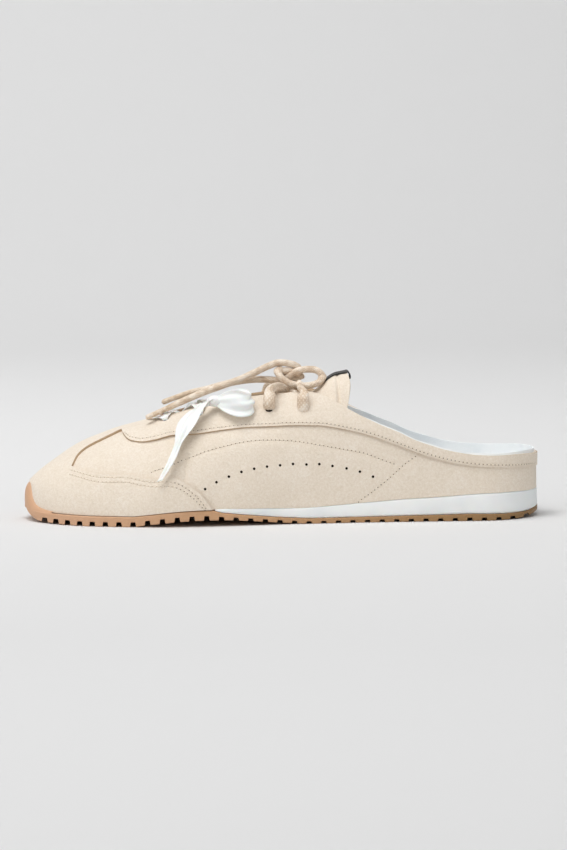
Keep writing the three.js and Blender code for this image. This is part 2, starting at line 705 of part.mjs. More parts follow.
// One ribbon crossing, flat on the eyestays and on the tongue
function ribbonBar(fromRow, fromSide, toRow) {
  const path = crossing(fromRow, fromSide, toRow, RIBBON_THICKNESS / 2 + 4 * GAP);
  path[3][2] += fromSide > 0 ? RIBBON_THICKNESS / 2 : 0;
  const last = path[path.length - 1];
  const run = new THREE.Vector3(last[0] - path[0][0], last[1] - path[0][1], 0).normalize();
  const half = [-run.y * RIBBON_BAR_HALF, run.x * RIBBON_BAR_HALF, 0];
  return ribbonSolid(path.map((at) => ({ at, half })), 12);
}

function ribbonBars() {
  return [[0, -1, 1], [0, 1, 1], [1, -1, 2], [1, 1, 2]]
    .map((ends) => ribbonBar(...ends))
    .reduce((all, bar) => all.add(bar));
}

// Bow at the top: knot, one loop from the last lateral eyelet, two free ends with dipped tips
const KNOT = { centre: [3.5, -3.5, 75.2], radii: [6.6, 4.8, 4.6] };
const NEAR_END = [
  [3.5, -3.8, 76.0], [0.6, -4.2, 78.2], [-3.8, -4.8, 79.3], [-10.6, -5.6, 77.6], [-20.6, -6.4, 72.6],
  [-30.5, -7.4, 69.0], [-35.7, -8.0, 67.4], [-43.0, -8.4, 64.6], [-49.3, -9.0, 62.0], [-53.4, -9.8, 60.2],
];
const NEAR_TIP = [[-54.0, -10.0, 60.0], [-59.1, -11.0, 58.2], [-65.7, -12.4, 55.9], [-71.3, -13.4, 53.6]];
const FAR_END = [
  [6.5, -2.4, 76.4], [9.6, -1.5, 77.3], [13.4, -0.6, 77.6], [17.4, -0.6, 77.0], [20.4, -2.8, 75.4],
  [21.0, -6.2, 73.4], [18.8, -9.4, 71.6], [14.4, -10.9, 70.4], [9.0, -10.9, 70.0], [4.0, -10.0, 70.8],
  [-1.0, -8.6, 72.1], [-7.4, -6.6, 72.1], [-13.0, -3.8, 71.5], [-18.0, -0.8, 70.7], [-23.0, 1.2, 69.8],
  [-29.7, 2.6, 68.4], [-37.0, 3.0, 67.0], [-45.4, 3.0, 65.4],
];
const FAR_TIP = [[-46.0, 3.0, 65.3], [-49.1, 2.8, 64.7], [-55.6, 2.0, 62.4], [-62.9, 1.2, 59.8]];

const RIBBON_KNOT = { centre: [-35.6, -21.4, 62.6], radii: [4.2, 3.2, 3.2] };
const RIBBON_LOOP = [
  { at: [-35.0, -22.0, 62.7], half: [0.0, 0.6, 2.0] },
  { at: [-30.0, -25.5, 63.1], half: [0.2, 1.2, 5.0] },
  { at: [-23.0, -27.6, 63.3], half: [0.6, 1.8, 7.2] },
  { at: [-18.0, -27.2, 63.3], half: [0.8, 1.6, 6.4] },
  { at: [-16.2, -24.8, 63.9], half: [0.6, 0.8, 5.0] },
  { at: [-18.4, -22.6, 65.9], half: [0.4, 0.6, 3.2] },
  { at: [-24.0, -21.2, 66.3], half: [0.2, 0.6, 2.8] },
  { at: [-30.0, -20.2, 64.9], half: [0.0, 0.6, 2.2] },
  { at: [-34.4, -20.4, 63.5], half: [0.0, 0.6, 1.6] },
];
const RIBBON_TAIL = [
  { at: [-36.4, -22.0, 62.3], half: [0.4, -1.0, 1.6] },
  { at: [-41.0, -24.4, 60.5], half: [1.6, -2.2, 3.0] },
  { at: [-46.8, -27.2, 57.1], half: [5.2, -2.0, 2.4] },
  { at: [-50.6, -31.8, 51.3], half: [5.2, -1.6, 1.0] },
  { at: [-54.8, -37.8, 42.9], half: [2.2, -0.8, 0.8] },
  { at: [-59.0, -43.2, 33.7], half: [2.6, -0.8, 1.2] },
  { at: [-64.9, -46.4, 24.1], half: [1.1, -0.2, 0.3] },
];

const group = new THREE.Group();

function addPiece(name, solid, color, roughness, metalness = 0) {
  const material = new THREE.MeshStandardMaterial({ color, roughness, metalness });
  const mesh = new THREE.Mesh(geometryFrom(solid), material);
  mesh.name = name;
  group.add(mesh);
}

const SUEDE = 0xe0d3bf;
const CORD = 0xdcc5a8;
const SATIN = 0xf2f3f1;

addPiece('outsole', outsole(), 0xc49b78, 0.7);
addPiece('midsole', midsole(), 0xe7eae9, 0.6);
addPiece('insole', insole(), 0xe6e9ec, 0.85);
addPiece('upper', upper(), SUEDE, 0.95);
addPiece('toe_cap', toeCap(), SUEDE, 0.95);
addPiece('eyestay_band', eyestayBand(), SUEDE, 0.95);
addPiece('tongue', tongue(), SUEDE, 0.95);
addPiece('tongue_label', tongueLabel(), 0x3a3836, 0.8);

const knot = knotSolid(KNOT.centre, KNOT.radii);
const knotRoom = knotSolid(KNOT.centre, KNOT.radii, GAP);
addPiece('lace_bars', laceBars(), CORD, 0.85);
addPiece('lace_knot', knot, CORD, 0.85);
addPiece('lace_riser', cordSolid(overEyestay(LAST_ROW, -1, -1, cordClear), CORD_DIAMETER, 6), CORD, 0.85);
addPiece('lace_end_near', cordSolid(NEAR_END, CORD_DIAMETER, 18).subtract(knotRoom), CORD, 0.85);
addPiece('lace_tip_near', cordSolid(NEAR_TIP, TIP_DIAMETER, 6), CORD, 0.6);
addPiece('lace_end_far', cordSolid(FAR_END, CORD_DIAMETER, 36).subtract(knotRoom), CORD, 0.85);
addPiece('lace_tip_far', cordSolid(FAR_TIP, TIP_DIAMETER, 6), CORD, 0.6);

const ribbonRoom = knotSolid(RIBBON_KNOT.centre, RIBBON_KNOT.radii, GAP);
addPiece('ribbon_bars', ribbonBars(), SATIN, 0.5);
addPiece('ribbon_knot', knotSolid(RIBBON_KNOT.centre, RIBBON_KNOT.radii), SATIN, 0.5);
addPiece('ribbon_loop', ribbonSolid(RIBBON_LOOP, 18).subtract(ribbonRoom), SATIN, 0.5);
addPiece('ribbon_tail', ribbonSolid(RIBBON_TAIL, 14).subtract(ribbonRoom), SATIN, 0.5);

export default group;
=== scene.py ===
import math

import bmesh
import bpy
import numpy as np
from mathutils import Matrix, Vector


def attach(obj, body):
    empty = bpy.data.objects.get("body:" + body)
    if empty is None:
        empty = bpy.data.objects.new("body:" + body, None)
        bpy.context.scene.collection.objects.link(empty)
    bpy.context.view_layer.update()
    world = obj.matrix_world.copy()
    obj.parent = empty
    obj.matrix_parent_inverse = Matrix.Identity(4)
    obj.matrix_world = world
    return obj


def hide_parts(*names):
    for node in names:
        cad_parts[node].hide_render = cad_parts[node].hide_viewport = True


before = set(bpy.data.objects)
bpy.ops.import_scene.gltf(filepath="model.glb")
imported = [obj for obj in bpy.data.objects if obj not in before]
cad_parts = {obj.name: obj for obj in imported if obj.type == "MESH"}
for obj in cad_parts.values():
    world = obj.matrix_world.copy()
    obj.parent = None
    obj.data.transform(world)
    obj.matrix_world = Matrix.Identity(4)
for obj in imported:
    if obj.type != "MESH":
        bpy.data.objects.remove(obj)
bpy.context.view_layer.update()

# Camera: a long lens from the lateral side, a little above the sole, with the toe turned towards it.
CAMERA_AT = (-0.1343, -2.5850, 0.2927)
CAMERA_AIM = (0.0012, -0.0001, 0.0480)
LENS_MM = 316.3
SENSOR_MM = 36.0
ROLL_DEG = -0.3


def look_at(thing, aim):
    """Turns a camera or lamp so that its minus z axis points at the aim, with its y axis up."""
    away = Vector(aim) - thing.location
    thing.rotation_euler = away.to_track_quat("-Z", "Y").to_euler()


camera_data = bpy.data.cameras.new("camera")
camera_data.lens = LENS_MM
camera_data.sensor_width = SENSOR_MM
camera_data.sensor_fit = "HORIZONTAL"
camera_data.clip_end = 20
camera = bpy.data.objects.new("camera", camera_data)
camera.location = CAMERA_AT
look_at(camera, CAMERA_AIM)
camera.rotation_euler.rotate_axis("Z", math.radians(ROLL_DEG))
bpy.context.scene.collection.objects.link(camera)
bpy.context.scene.camera = camera
bpy.context.scene.view_settings.view_transform = "Standard"


# Studio: a pale matt sweep, floor and wall in one sheet, clear from behind so that the shoe can be seen from
# all sides. Big soft lamps stand over it and high on the toe side, a weaker one fills in from the heel
# side, and one lights the wall.
SWEEP_HEX = "dfdfdf"
SWEEP_RADIUS = 0.9
SWEEP_BACK = 1.1
SWEEP_REACH = 4
LAMPS = [
    {"name": "overhead", "at": (-0.30, -0.6, 1.9), "aim": (0, 0, 0.03), "size": 1.4, "watts": 23.4},
    {"name": "toe_side", "at": (-1.5, -1.3, 1.0), "aim": (0, 0, 0.03), "size": 1.1, "watts": 8.2},
    {"name": "heel_side", "at": (1.7, -1.5, 0.9), "aim": (0.1, 0, 0.03), "size": 1.2, "watts": 4.8},
    {"name": "backdrop", "at": (-0.5, 0.2, 1.5), "aim": (-0.2, 2.0, 0.8), "size": 1.0, "watts": 12.4},
]
SKY_STRENGTH = 0.38
SKY_HEX = "f5f5f5"
WELD = 2e-6


def linear(hex_colour):
    """sRGB hex to linear RGBA: each channel c becomes ((c + 0.055) / 1.055) ** 2.4, or c / 12.92 if dark."""
    channels = np.array([int(hex_colour[i:i + 2], 16) for i in (0, 2, 4)]) / 255
    bright = ((channels + 0.055) / 1.055) ** 2.4
    return (*np.where(channels > 0.04045, bright, channels / 12.92), 1.0)


def add(tree, kind, sockets=(), stops=(), to=None, **settings):
    """Adds a node: settings are its properties, sockets maps inputs to a value or to another node's output,
    stops are a ramp's places with their hex colours, and to is the input that takes its first output."""
    made = tree.nodes.new(kind)
    for name, value in settings.items():
        setattr(made, name, value)
    for socket, value in dict(sockets).items():
        if isinstance(value, bpy.types.NodeSocket):
            tree.links.new(value, made.inputs[socket])
        else:
            made.inputs[socket].default_value = value
    if stops:
        marks = made.color_ramp.elements
        marks[0].position, marks[1].position = stops[0][0], stops[-1][0]
        for place, _ in stops[1:-1]:
            marks.new(place)
        for mark, (_, hex_colour) in zip(marks, stops):
            mark.color = linear(hex_colour)
    if to is not None:
        tree.links.new(made.outputs[0], to)
    return made


def finish_named(name, sockets):
    """New material with one Principled shader; gives the material, its node tree and the shader."""
    material = bpy.data.materials.new(name)
    material.use_nodes = True
    tree = material.node_tree
    tree.nodes.clear()
    shader = add(tree, "ShaderNodeBsdfPrincipled", sockets)
    output = add(tree, "ShaderNodeOutputMaterial")
    tree.links.new(shader.outputs[0], output.inputs[0])
    return material, tree, shader


def skin(name, patches, material, uvs=None):
    """Smooth mesh from grids of points in mm. Each cell of a grid is a quad, and grids are welded where they
    meet."""
    points = np.concatenate([patch.reshape(-1, 3) for patch in patches]) / 1000
    quads, start = [], 0
    for patch in patches:
        ids = start + np.arange(patch.shape[0] * patch.shape[1]).reshape(patch.shape[:2])
        quads.append(np.stack([ids[:-1, :-1], ids[1:, :-1], ids[1:, 1:], ids[:-1, 1:]], -1).reshape(-1, 4))
        start += ids.size
    quads = np.concatenate(quads)
    mesh = bpy.data.meshes.new(name)
    mesh.vertices.add(len(points))
    mesh.vertices.foreach_set("co", points.ravel())
    mesh.loops.add(quads.size)
    mesh.loops.foreach_set("vertex_index", quads.ravel())
    mesh.polygons.add(len(quads))
    mesh.polygons.foreach_set("loop_start", np.arange(0, quads.size, 4))
    mesh.update(calc_edges=True)
    if uvs is not None:
        flat = np.concatenate([uv.reshape(-1, 2) for uv in uvs])
        mesh.uv_layers.new(name="along").data.foreach_set("uv", flat[quads.ravel()].ravel())
    work = bmesh.new()
    work.from_mesh(mesh)
    bmesh.ops.remove_doubles(work, verts=work.verts, dist=WELD)
    bmesh.ops.dissolve_degenerate(work, edges=work.edges, dist=WELD)
    work.to_mesh(mesh)
    work.free()
    mesh.polygons.foreach_set("use_smooth", np.ones(len(mesh.polygons), bool))
    mesh.materials.append(material)
    made = bpy.data.objects.new(name, mesh)
    bpy.context.scene.collection.objects.link(made)
    return made


world = bpy.data.worlds.new("studio")
world.use_nodes = True
sky = world.node_tree.nodes["Background"]
sky.inputs["Color"].default_value = linear(SKY_HEX)
sky.inputs["Strength"].default_value = SKY_STRENGTH
bpy.context.scene.world = world

for row in LAMPS:
    lamp_data = bpy.data.lights.new(row["name"], "AREA")
    lamp_data.energy = row["watts"]
    lamp_data.size = row["size"]
    lamp = bpy.data.objects.new(row["name"], lamp_data)
    lamp.location = row["at"]
    look_at(lamp, row["aim"])
    bpy.context.scene.collection.objects.link(lamp)

paper, tree, shader = finish_named("matt_backdrop_paper", {"Base Color": linear(SWEEP_HEX), "Roughness": 0.9})
from_behind = add(tree, "ShaderNodeNewGeometry").outputs["Backfacing"]
clear = add(tree, "ShaderNodeBsdfTransparent").outputs[0]
one_way = add(tree, "ShaderNodeMixShader", {0: from_behind, 1: shader.outputs[0], 2: clear})
tree.links.new(one_way.outputs[0], shader.outputs[0].links[0].to_node.inputs[0])
bend = np.linspace(0, math.pi / 2, 24)
sweep_y = np.concatenate([[-SWEEP_REACH, -1], SWEEP_BACK + SWEEP_RADIUS * np.sin(bend),
                          [SWEEP_BACK + SWEEP_RADIUS]])
sweep_z = np.concatenate([[0, 0], SWEEP_RADIUS * (1 - np.cos(bend)), [SWEEP_REACH]])
sweep_x = np.linspace(-SWEEP_REACH, SWEEP_REACH, 9)
grid = np.stack(np.broadcast_arrays(sweep_x[:, None], sweep_y[None, :], sweep_z[None, :]), -1)
sweep = skin("studio_sweep", [grid * 1000], paper)


# Lace: a soft woven cotton cord, oval, beige, with fine ribs along it and dipped tips. It is tied at the top:
# a knot, the near end over the toe, and the far end that first makes a small ring behind the knot.
LACE_WIDE, LACE_THICK = 4.5, 3.4
TIP_SHARE, TIP_TAPER, TIP_BELOW, DIP_BEYOND = 0.78, 8, 70, 2
RIBS, RIB_SWELL, CORD_AROUND, CORD_MAP_AROUND = 13, 0.045, 40, 14
NOSE_SHARE = 0.4
LACE_HEX = {"shade": "d2baa1", "body": "e4d1bb", "light": "f4e9db"}
TIP_HEX = {"shade": "c6ab8e", "body": "dfc9af", "light": "eee0cf"}
NEAR_END = [
    (8.1, -2.6, 76.2), (8.7, -3.4, 78.0), (6.7, -4.6, 79.7), (3.2, -5.2, 80.7), (-1.6, -5.4, 81.1),
    (-6.8, -5.4, 79.4), (-12.9, -5.8, 76.6), (-21.7, -6.4, 72.7), (-30.4, -6.8, 69.7), (-39.1, -7.2, 66.7),
    (-47.8, -7.8, 63.3), (-56.5, -8.8, 59.6), (-65.2, -10.8, 55.9), (-71.0, -13.2, 53.6),
]
FAR_END = [
    (0.2, -4.2, 78.0), (-1.9, -6.5, 77.2), (-1.1, -8.8, 74.6), (2.4, -10.0, 71.5), (8.5, -10.6, 69.6),
    (15.4, -10.2, 69.7), (19.9, -8.4, 71.4), (21.2, -6.2, 74.2), (18.7, -5.0, 76.7), (13.1, -5.4, 77.5),
    (8.6, -6.0, 76.9), (5.5, -5.6, 75.3), (2.7, -4.6, 73.0), (-1.2, -4.2, 72.0), (-7.6, -3.0, 72.2),
    (-14.5, -1.5, 72.1), (-21.4, 0.6, 71.2), (-30.0, 1.8, 69.4), (-38.7, 2.6, 66.9), (-47.4, 3.0, 65.0),
    (-53.5, 2.6, 63.2), (-62.3, 1.8, 60.1),
]
KNOT = [
    (9.8, -3.4, 74.2), (6.7, -4.2, 75.7), (3.1, -5.2, 76.9), (-0.2, -4.6, 76.2), (0.4, -3.2, 74.0),
    (4.6, -2.2, 72.8), (9.4, -1.4, 73.3), (12.0, -2.0, 74.6),
]


def course(points, spacing):
    """Even points along a smooth line: cubic pieces in chord length, each slope taken from its neighbours."""
    given = np.array(points, float)
    chords = np.linalg.norm(np.diff(given, axis=0), axis=1)
    at = np.concatenate([[0], np.cumsum(chords)])
    slope = np.gradient(given, at, axis=0)
    fine = np.linspace(0, at[-1], 60 * len(given))
    i = np.clip(np.searchsorted(at, fine, "right") - 1, 0, len(chords) - 1)
    h = chords[i][:, None]
    u = (fine - at[i])[:, None] / h
    line = (given[i] * (1 + 2 * u) * (1 - u) ** 2 + slope[i] * h * u * (1 - u) ** 2
            + given[i + 1] * u ** 2 * (3 - 2 * u) - slope[i + 1] * h * u ** 2 * (1 - u))
    run = np.concatenate([[0], np.cumsum(np.linalg.norm(np.diff(line, axis=0), axis=1))])
    even = np.linspace(0, run[-1], max(int(run[-1] / spacing), 4) + 1)
    return np.stack([np.interp(even, run, line[:, k]) for k in range(3)], 1)


def unit(vectors):
    """Vectors over their own length."""
    return vectors / np.maximum(np.linalg.norm(vectors, axis=-1, keepdims=True), 1e-9)


def cord_grid(line, level, wide, thick, shares=None):
    """Oval rings round a line. Width lies across the line and the level direction, each radius is swelled by
    1 + RIB_SWELL cos(RIBS * angle), and the last rings close like half an ellipse. Gives the grid and its
    length map."""
    tangent = unit(np.gradient(line, axis=0))
    side = unit(np.cross(tangent, np.array(level, float)))
    up = np.cross(side, tangent)
    run = np.concatenate([[0], np.cumsum(np.linalg.norm(np.diff(line, axis=0), axis=1))])
    shares = np.ones(len(line)) if shares is None else shares
    from_end = np.minimum(run, run[-1] - run) / (NOSE_SHARE * thick)
    nose = np.sqrt(np.clip(1 - (1 - from_end).clip(0) ** 2, 0, 1))
    angle = np.linspace(0, 2 * math.pi, CORD_AROUND + 1)
    radius = (shares * nose)[:, None] * (1 + RIB_SWELL * np.cos(RIBS * angle))
    grid = (line[:, None] + side[:, None] * (radius * wide / 2 * np.cos(angle))[..., None]
            + up[:, None] * (radius * thick / 2 * np.sin(angle))[..., None])
    around = angle[None, :] / (2 * math.pi) * CORD_MAP_AROUND
    return grid, np.stack(np.broadcast_arrays(run[:, None], around), -1)


def woven_cotton(name, tones):
    """Cotton braid, worked from the length map in mm: two sets of threads cross, each crossing about 1.6 mm
    long, with lighter specks and a soft fuzz."""
    material, tree, shader = finish_named(
        name, {"Roughness": 0.85, "Sheen Weight": 0.25, "Sheen Roughness": 0.5})
    length_map = add(tree, "ShaderNodeUVMap", uv_map="along").outputs[0]
    threads = []
    for slant in (0.9, -0.9):
        turned = add(tree, "ShaderNodeMapping", {"Vector": length_map, "Rotation": (0, 0, slant)}).outputs[0]
        threads.append(add(tree, "ShaderNodeTexWave", {"Vector": turned, "Scale": 0.27, "Distortion": 2.5,
                                                       "Detail": 1.0, "Detail Scale": 2.0}).outputs["Fac"])
    place = add(tree, "ShaderNodeTexCoord").outputs["Object"]
    fuzz = add(tree, "ShaderNodeTexNoise", {"Vector": place, "Scale": 1100.0, "Detail": 4.0}).outputs["Fac"]
    cloud = add(tree, "ShaderNodeTexNoise", {"Vector": place, "Scale": 260.0, "Detail": 3.0}).outputs["Fac"]
    braid = add(tree, "ShaderNodeMath", {0: threads[0], 1: threads[1]}, operation="MULTIPLY").outputs[0]
    speck = add(tree, "ShaderNodeMath", {0: cloud, 1: 0.7}, operation="MULTIPLY").outputs[0]
    tone = add(tree, "ShaderNodeMath", {0: braid, 1: 0.17, 2: speck}, operation="MULTIPLY_ADD").outputs[0]
    add(tree, "ShaderNodeValToRGB", {"Fac": tone}, to=shader.inputs["Base Color"],
        stops=[(0.28, tones["shade"]), (0.39, tones["body"]), (0.52, tones["light"])])
    height = add(tree, "ShaderNodeMath", {0: fuzz, 1: 0.5, 2: braid}, operation="MULTIPLY_ADD").outputs[0]
    add(tree, "ShaderNodeBump", {"Height": height, "Strength": 0.6, "Distance": 0.0002},
        to=shader.inputs["Normal"])
    return material


lace_cotton = woven_cotton("woven_cotton_lace", LACE_HEX)
tip_cotton = woven_cotton("dipped_cotton_tip", TIP_HEX)
knot_line = course(KNOT, 0.5)
knot_grid, knot_map = cord_grid(knot_line, (0.2, 0.3, 1), LACE_WIDE, LACE_THICK)
lace_knot = skin("tied_knot", [knot_grid], lace_cotton, [knot_map])
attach(lace_knot, "root")
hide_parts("lace_knot")

for name, points, tip_from, nodes in [
    ("lace_end_over_toe", NEAR_END, -53.0, ("lace_end_near", "lace_tip_near")),
    ("lace_end_with_ring", FAR_END, -45.5, ("lace_end_far", "lace_tip_far")),
]:
    line = course(points, 0.55)
    dipped = np.clip((tip_from - line[:, 0]) / TIP_TAPER, 0, 1) * (line[:, 2] < TIP_BELOW)
    taper = 1 - (1 - TIP_SHARE) * dipped
    grid, length_map = cord_grid(line, (0, 0.25, 1), LACE_WIDE, LACE_THICK, taper)
    end = skin(name, [grid], lace_cotton, [length_map])
    end.data.materials.append(tip_cotton)
    centres = np.array([face.center.x for face in end.data.polygons])
    in_dip = centres < (tip_from - DIP_BEYOND) / 1000
    end.data.polygons.foreach_set("material_index", in_dip.astype(np.int32))
    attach(end, "root")
    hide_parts(*nodes)
    reach = float(np.linalg.norm(np.diff(line, axis=0), axis=1).sum()) / 1000


# Ribbon bow: white satin ribbon, tied once through the front eyelets on the lateral side. A knot pinches it, a
# crumpled loop stands up behind it, and its tail hangs over the side with one twist. The flat sizes are the runs
# of the two centre lines, with 10 mm as the mean width of a ribbon that is pinched at its ends.
SATIN_HEX = "f3f3f1"
SATIN_THICK = 0.35
HALF_MEAN, RIBBON_MAP_RUN, RIBBON_MAP_HALF = 4, 60, 7
RIBBON_LOOP = [
    {"at": (-35.0, -22.0, 62.7), "half": (0.0, 0.6, 2.0)},
    {"at": (-30.0, -25.5, 62.5), "half": (0.2, 1.6, 5.4)},
    {"at": (-24.0, -27.6, 62.1), "half": (-0.8, 2.2, 7.4)},
    {"at": (-18.6, -27.2, 61.7), "half": (-1.6, 1.6, 6.0)},
    {"at": (-16.0, -24.8, 62.5), "half": (-1.2, 0.8, 4.2)},
    {"at": (-18.4, -22.6, 65.1), "half": (0.4, 0.6, 3.4)},
    {"at": (-24.0, -21.2, 66.3), "half": (0.2, 0.6, 2.8)},
    {"at": (-30.0, -20.2, 64.9), "half": (0.0, 0.6, 2.2)},
    {"at": (-34.4, -20.4, 63.5), "half": (0.0, 0.6, 1.6)},
]
RIBBON_TAIL = [
    {"at": (-36.4, -22.0, 62.3), "half": (1.0, -1.0, 1.8)},
    {"at": (-42.4, -24.2, 61.0), "half": (4.2, -2.2, 2.7)},
    {"at": (-46.8, -27.2, 57.1), "half": (5.2, -2.0, 2.4)},
    {"at": (-50.6, -31.8, 51.3), "half": (5.2, -1.6, 1.0)},
    {"at": (-54.8, -37.8, 42.9), "half": (2.2, -0.8, 0.8)},
    {"at": (-59.0, -43.2, 33.7), "half": (2.6, -0.8, 1.2)},
    {"at": (-64.9, -46.4, 24.1), "half": (1.1, -0.2, 0.3)},
]
RIBBON_KNOT = {"at": (-35.6, -21.4, 62.8), "radii": (3.8, 3.0, 3.0)}


def satin(name):
    """Satin ribbon: smooth floats along its length, a fine crosswise thread each 0.4 mm, and a soft glow."""
    material, tree, shader = finish_named(name, {
        "Base Color": linear(SATIN_HEX), "Roughness": 0.42, "Sheen Weight": 0.2, "Sheen Roughness": 0.3,
        "Subsurface Weight": 0.15, "Subsurface Scale": 0.002})
    length_map = add(tree, "ShaderNodeUVMap", uv_map="along").outputs[0]
    threads = add(tree, "ShaderNodeTexWave", {"Vector": length_map, "Scale": 0.8, "Distortion": 0.3})
    add(tree, "ShaderNodeBump", {"Height": threads.outputs["Fac"], "Strength": 0.12, "Distance": 0.0001},
        to=shader.inputs["Normal"])
    return material


def ribbon_grid(rows, crumple, pieces=70, across=16):
    """Flat strip along a line: each point is the centre plus v times the half width, v from -1 to 1. Half
    widths are the mean of nine neighbours, and the strip is crumpled along its normal by two waves across it,
    crumple * (sin(5.2 v + 4 s) + sin(9.5 v - 9 s) / 2), which fade at the pinched ends."""
    centres = course([row["at"] for row in rows], 0.2)
    shares = np.linspace(0, 1, pieces + 1)
    spans = np.cumsum([0, *np.linalg.norm(np.diff([row["at"] for row in rows], axis=0), axis=1)])
    spans = spans / spans[-1]
    halves = np.array([row["half"] for row in rows])
    along = np.linspace(0, 1, len(centres))
    middle = np.stack([np.interp(shares, along, centres[:, k]) for k in range(3)], 1)
    eased = np.stack([np.interp(shares, spans, halves[:, k]) for k in range(3)], 1)
    kernel = np.ones(2 * HALF_MEAN + 1) / (2 * HALF_MEAN + 1)
    padded = np.pad(eased, ((HALF_MEAN, HALF_MEAN), (0, 0)), mode="edge")
    eased = np.stack([np.convolve(padded[:, k], kernel, "valid") for k in range(3)], 1)
    face = unit(np.cross(np.gradient(middle, axis=0), eased))
    v = np.linspace(-1, 1, across + 1)
    s = shares[:, None]
    wave = crumple * np.sin(math.pi * s) * (np.sin(5.2 * v + 4 * s) + 0.5 * np.sin(9.5 * v - 9 * s))
    grid = middle[:, None] + eased[:, None] * v[None, :, None] + face[:, None] * wave[..., None]
    run = np.linspace(0, RIBBON_MAP_RUN, pieces + 1)
    return grid, np.stack(np.broadcast_arrays(run[:, None], RIBBON_MAP_HALF * v[None, :]), -1)


def wall(thing, thickness, offset, edge=0.0, cut=None):
    """Gives an open sheet its real thickness and rounds its cut edge, which can have its own material."""
    solid = thing.modifiers.new("thickness", "SOLIDIFY")
    solid.thickness = thickness / 1000
    solid.offset = offset
    if cut:
        thing.data.materials.append(cut)
        solid.material_offset_rim = 1
    if edge:
        soft = thing.modifiers.new("edge", "BEVEL")
        soft.width = edge / 1000
        soft.segments = 2
        soft.limit_method = "ANGLE"
        soft.angle_limit = math.radians(55)


white_satin = satin("satin_ribbon")
for name, rows, crumple, flat, held, node in [
    ("bow_loop", RIBBON_LOOP, 0.75, (0.010, 0.045), "gathered", "ribbon_loop"),
    ("bow_tail", RIBBON_TAIL, 0.60, (0.010, 0.056), "hung", "ribbon_tail"),
]:
    grid, length_map = ribbon_grid(rows, crumple)
    strip = skin(name, [grid], white_satin, [length_map])
    wall(strip, SATIN_THICK, 0)
    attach(strip, "root")
    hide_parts(node)


# Ribbon knot: the same satin wound tightly round the two strands, so it is a small bundle with folds along it.
# Its radius is swelled by five broad folds that lean with the height and by eleven fine ones.
turn = np.linspace(0, 2 * math.pi, 65)[:, None]
rise = np.linspace(-math.pi / 2, math.pi / 2, 33)[None, :]
folds = (0.10 * np.sin(5 * turn + 2 * rise) + 0.05 * np.sin(11 * turn)) * np.cos(rise)
bundle = 1 + folds
bundle = np.stack([bundle * np.cos(rise) * np.cos(turn), bundle * np.cos(rise) * np.sin(turn),
                   np.broadcast_to(np.sin(rise), bundle.shape)], -1)
knot_grid = np.add(RIBBON_KNOT["at"], bundle * np.array(RIBBON_KNOT["radii"]))
knot_map = np.stack(np.broadcast_arrays(turn * 4, rise * 4), -1)
ribbon_knot = skin("bow_knot", [knot_grid], white_satin, [knot_map])
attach(ribbon_knot, "root")
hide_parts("ribbon_knot")


# Upper: the vamp and quarters, one piece of brushed suede pulled over the last, about 1.2 mm thick. It is open
# at the heel collar and the throat. The tables hold the last's own shape, as shares of its named sizes.
LENGTH, BALL_WIDTH, HEEL_WIDTH = 268.0, 91.0, 62.0
INSTEP_HEIGHT, TOE_HEIGHT = 79.5, 42.7
TOE, HEEL = -LENGTH / 2, LENGTH / 2
TOE_ROUND, HEEL_ROUND = 80.0, 32.0
TOE_BUMPER, HEEL_SET_BACK = 3.9, 0.5
TOE_SWELL_START, HEEL_SWELL_START = 40.0, 20.0
RIDGE_LEAN, SWELL_REACH = 0.04, 2.2
GUM_THICKNESS, WEDGE_HEIGHT, ROCKER_LIFT = 5.1, 10.3, 3.2
GAP, WALL, OVERLAY = 0.3, 2.0, 1.1
OUTLINE_AT = [0, 0.12, 0.25, 0.36, 0.46, 0.56, 0.65, 0.73, 0.81, 0.90, 1.0]
OUTLINE_OF = [HEEL_WIDTH] * 4 + [BALL_WIDTH] * 7
OUTLINE_HALF = [0.490, 0.495, 0.485, 0.476, 0.338, 0.391, 0.449, 0.484, 0.500, 0.527, 0.542]
OUTLINE_SHIFT = [0, -0.006, -0.024, -0.056, -0.055, -0.055, -0.040, -0.020, 0.007, 0.024, 0.044]
CREST_AT = [0, 0.20, 0.30, 0.365, 0.40, 0.43, 0.48, 0.55, 0.63, 0.71, 0.766, 0.817, 0.854, 0.881, 0.91, 0.94,
            0.963, 0.985, 1.0]
CREST_OF = [INSTEP_HEIGHT] * 10 + [TOE_HEIGHT] * 9
CREST = [1.157, 1.132, 1.082, 1.0, 0.950, 0.912, 0.874, 0.830, 0.767, 0.689, 1.171, 1.084, 1.0, 0.932, 0.834,
         0.703, 0.600, 0.480, 0.386]
STACK = np.array([
    (0.00, 0.95, 0.46, 0.86), (0.03, 0.30, 0.54, 1.01), (0.06, 0.10, 0.60, 1.06), (0.10, 0.00, 0.66, 1.04),
    (0.14, 0.00, 0.70, 0.98), (0.19, 0.00, 0.65, 0.91), (0.27, 0.00, 0.59, 0.83), (0.35, 0.00, 0.55, 0.70),
    (0.445, 0.00, 0.53, 0.53), (0.50, 0.25, 0.53, 0.44), (0.54, 0.53, 0.55, 0.37), (0.58, 0.81, 0.59, 0.28),
    (0.61, 0.96, 0.68, 0.21), (0.625, 0.99, 0.76, 0.16), (0.638, 1.00, 0.96, 0.03), (0.66, 1.00, 1.00, 0.00),
    (0.70, 0.88, 1.00, 0.00), (0.735, 0.62, 1.00, 0.00), (0.765, 0.33, 1.00, 0.00), (0.80, 0.00, 1.03, 0.00),
    (0.88, 0.00, 1.03, 0.00), (0.92, 0.08, 1.01, 0.00), (0.96, 0.25, 0.95, 0.00), (1.00, 0.60, 0.88, 0.00),
], dtype=[("at", float), ("lift", float), ("gum", float), ("foam", float)])
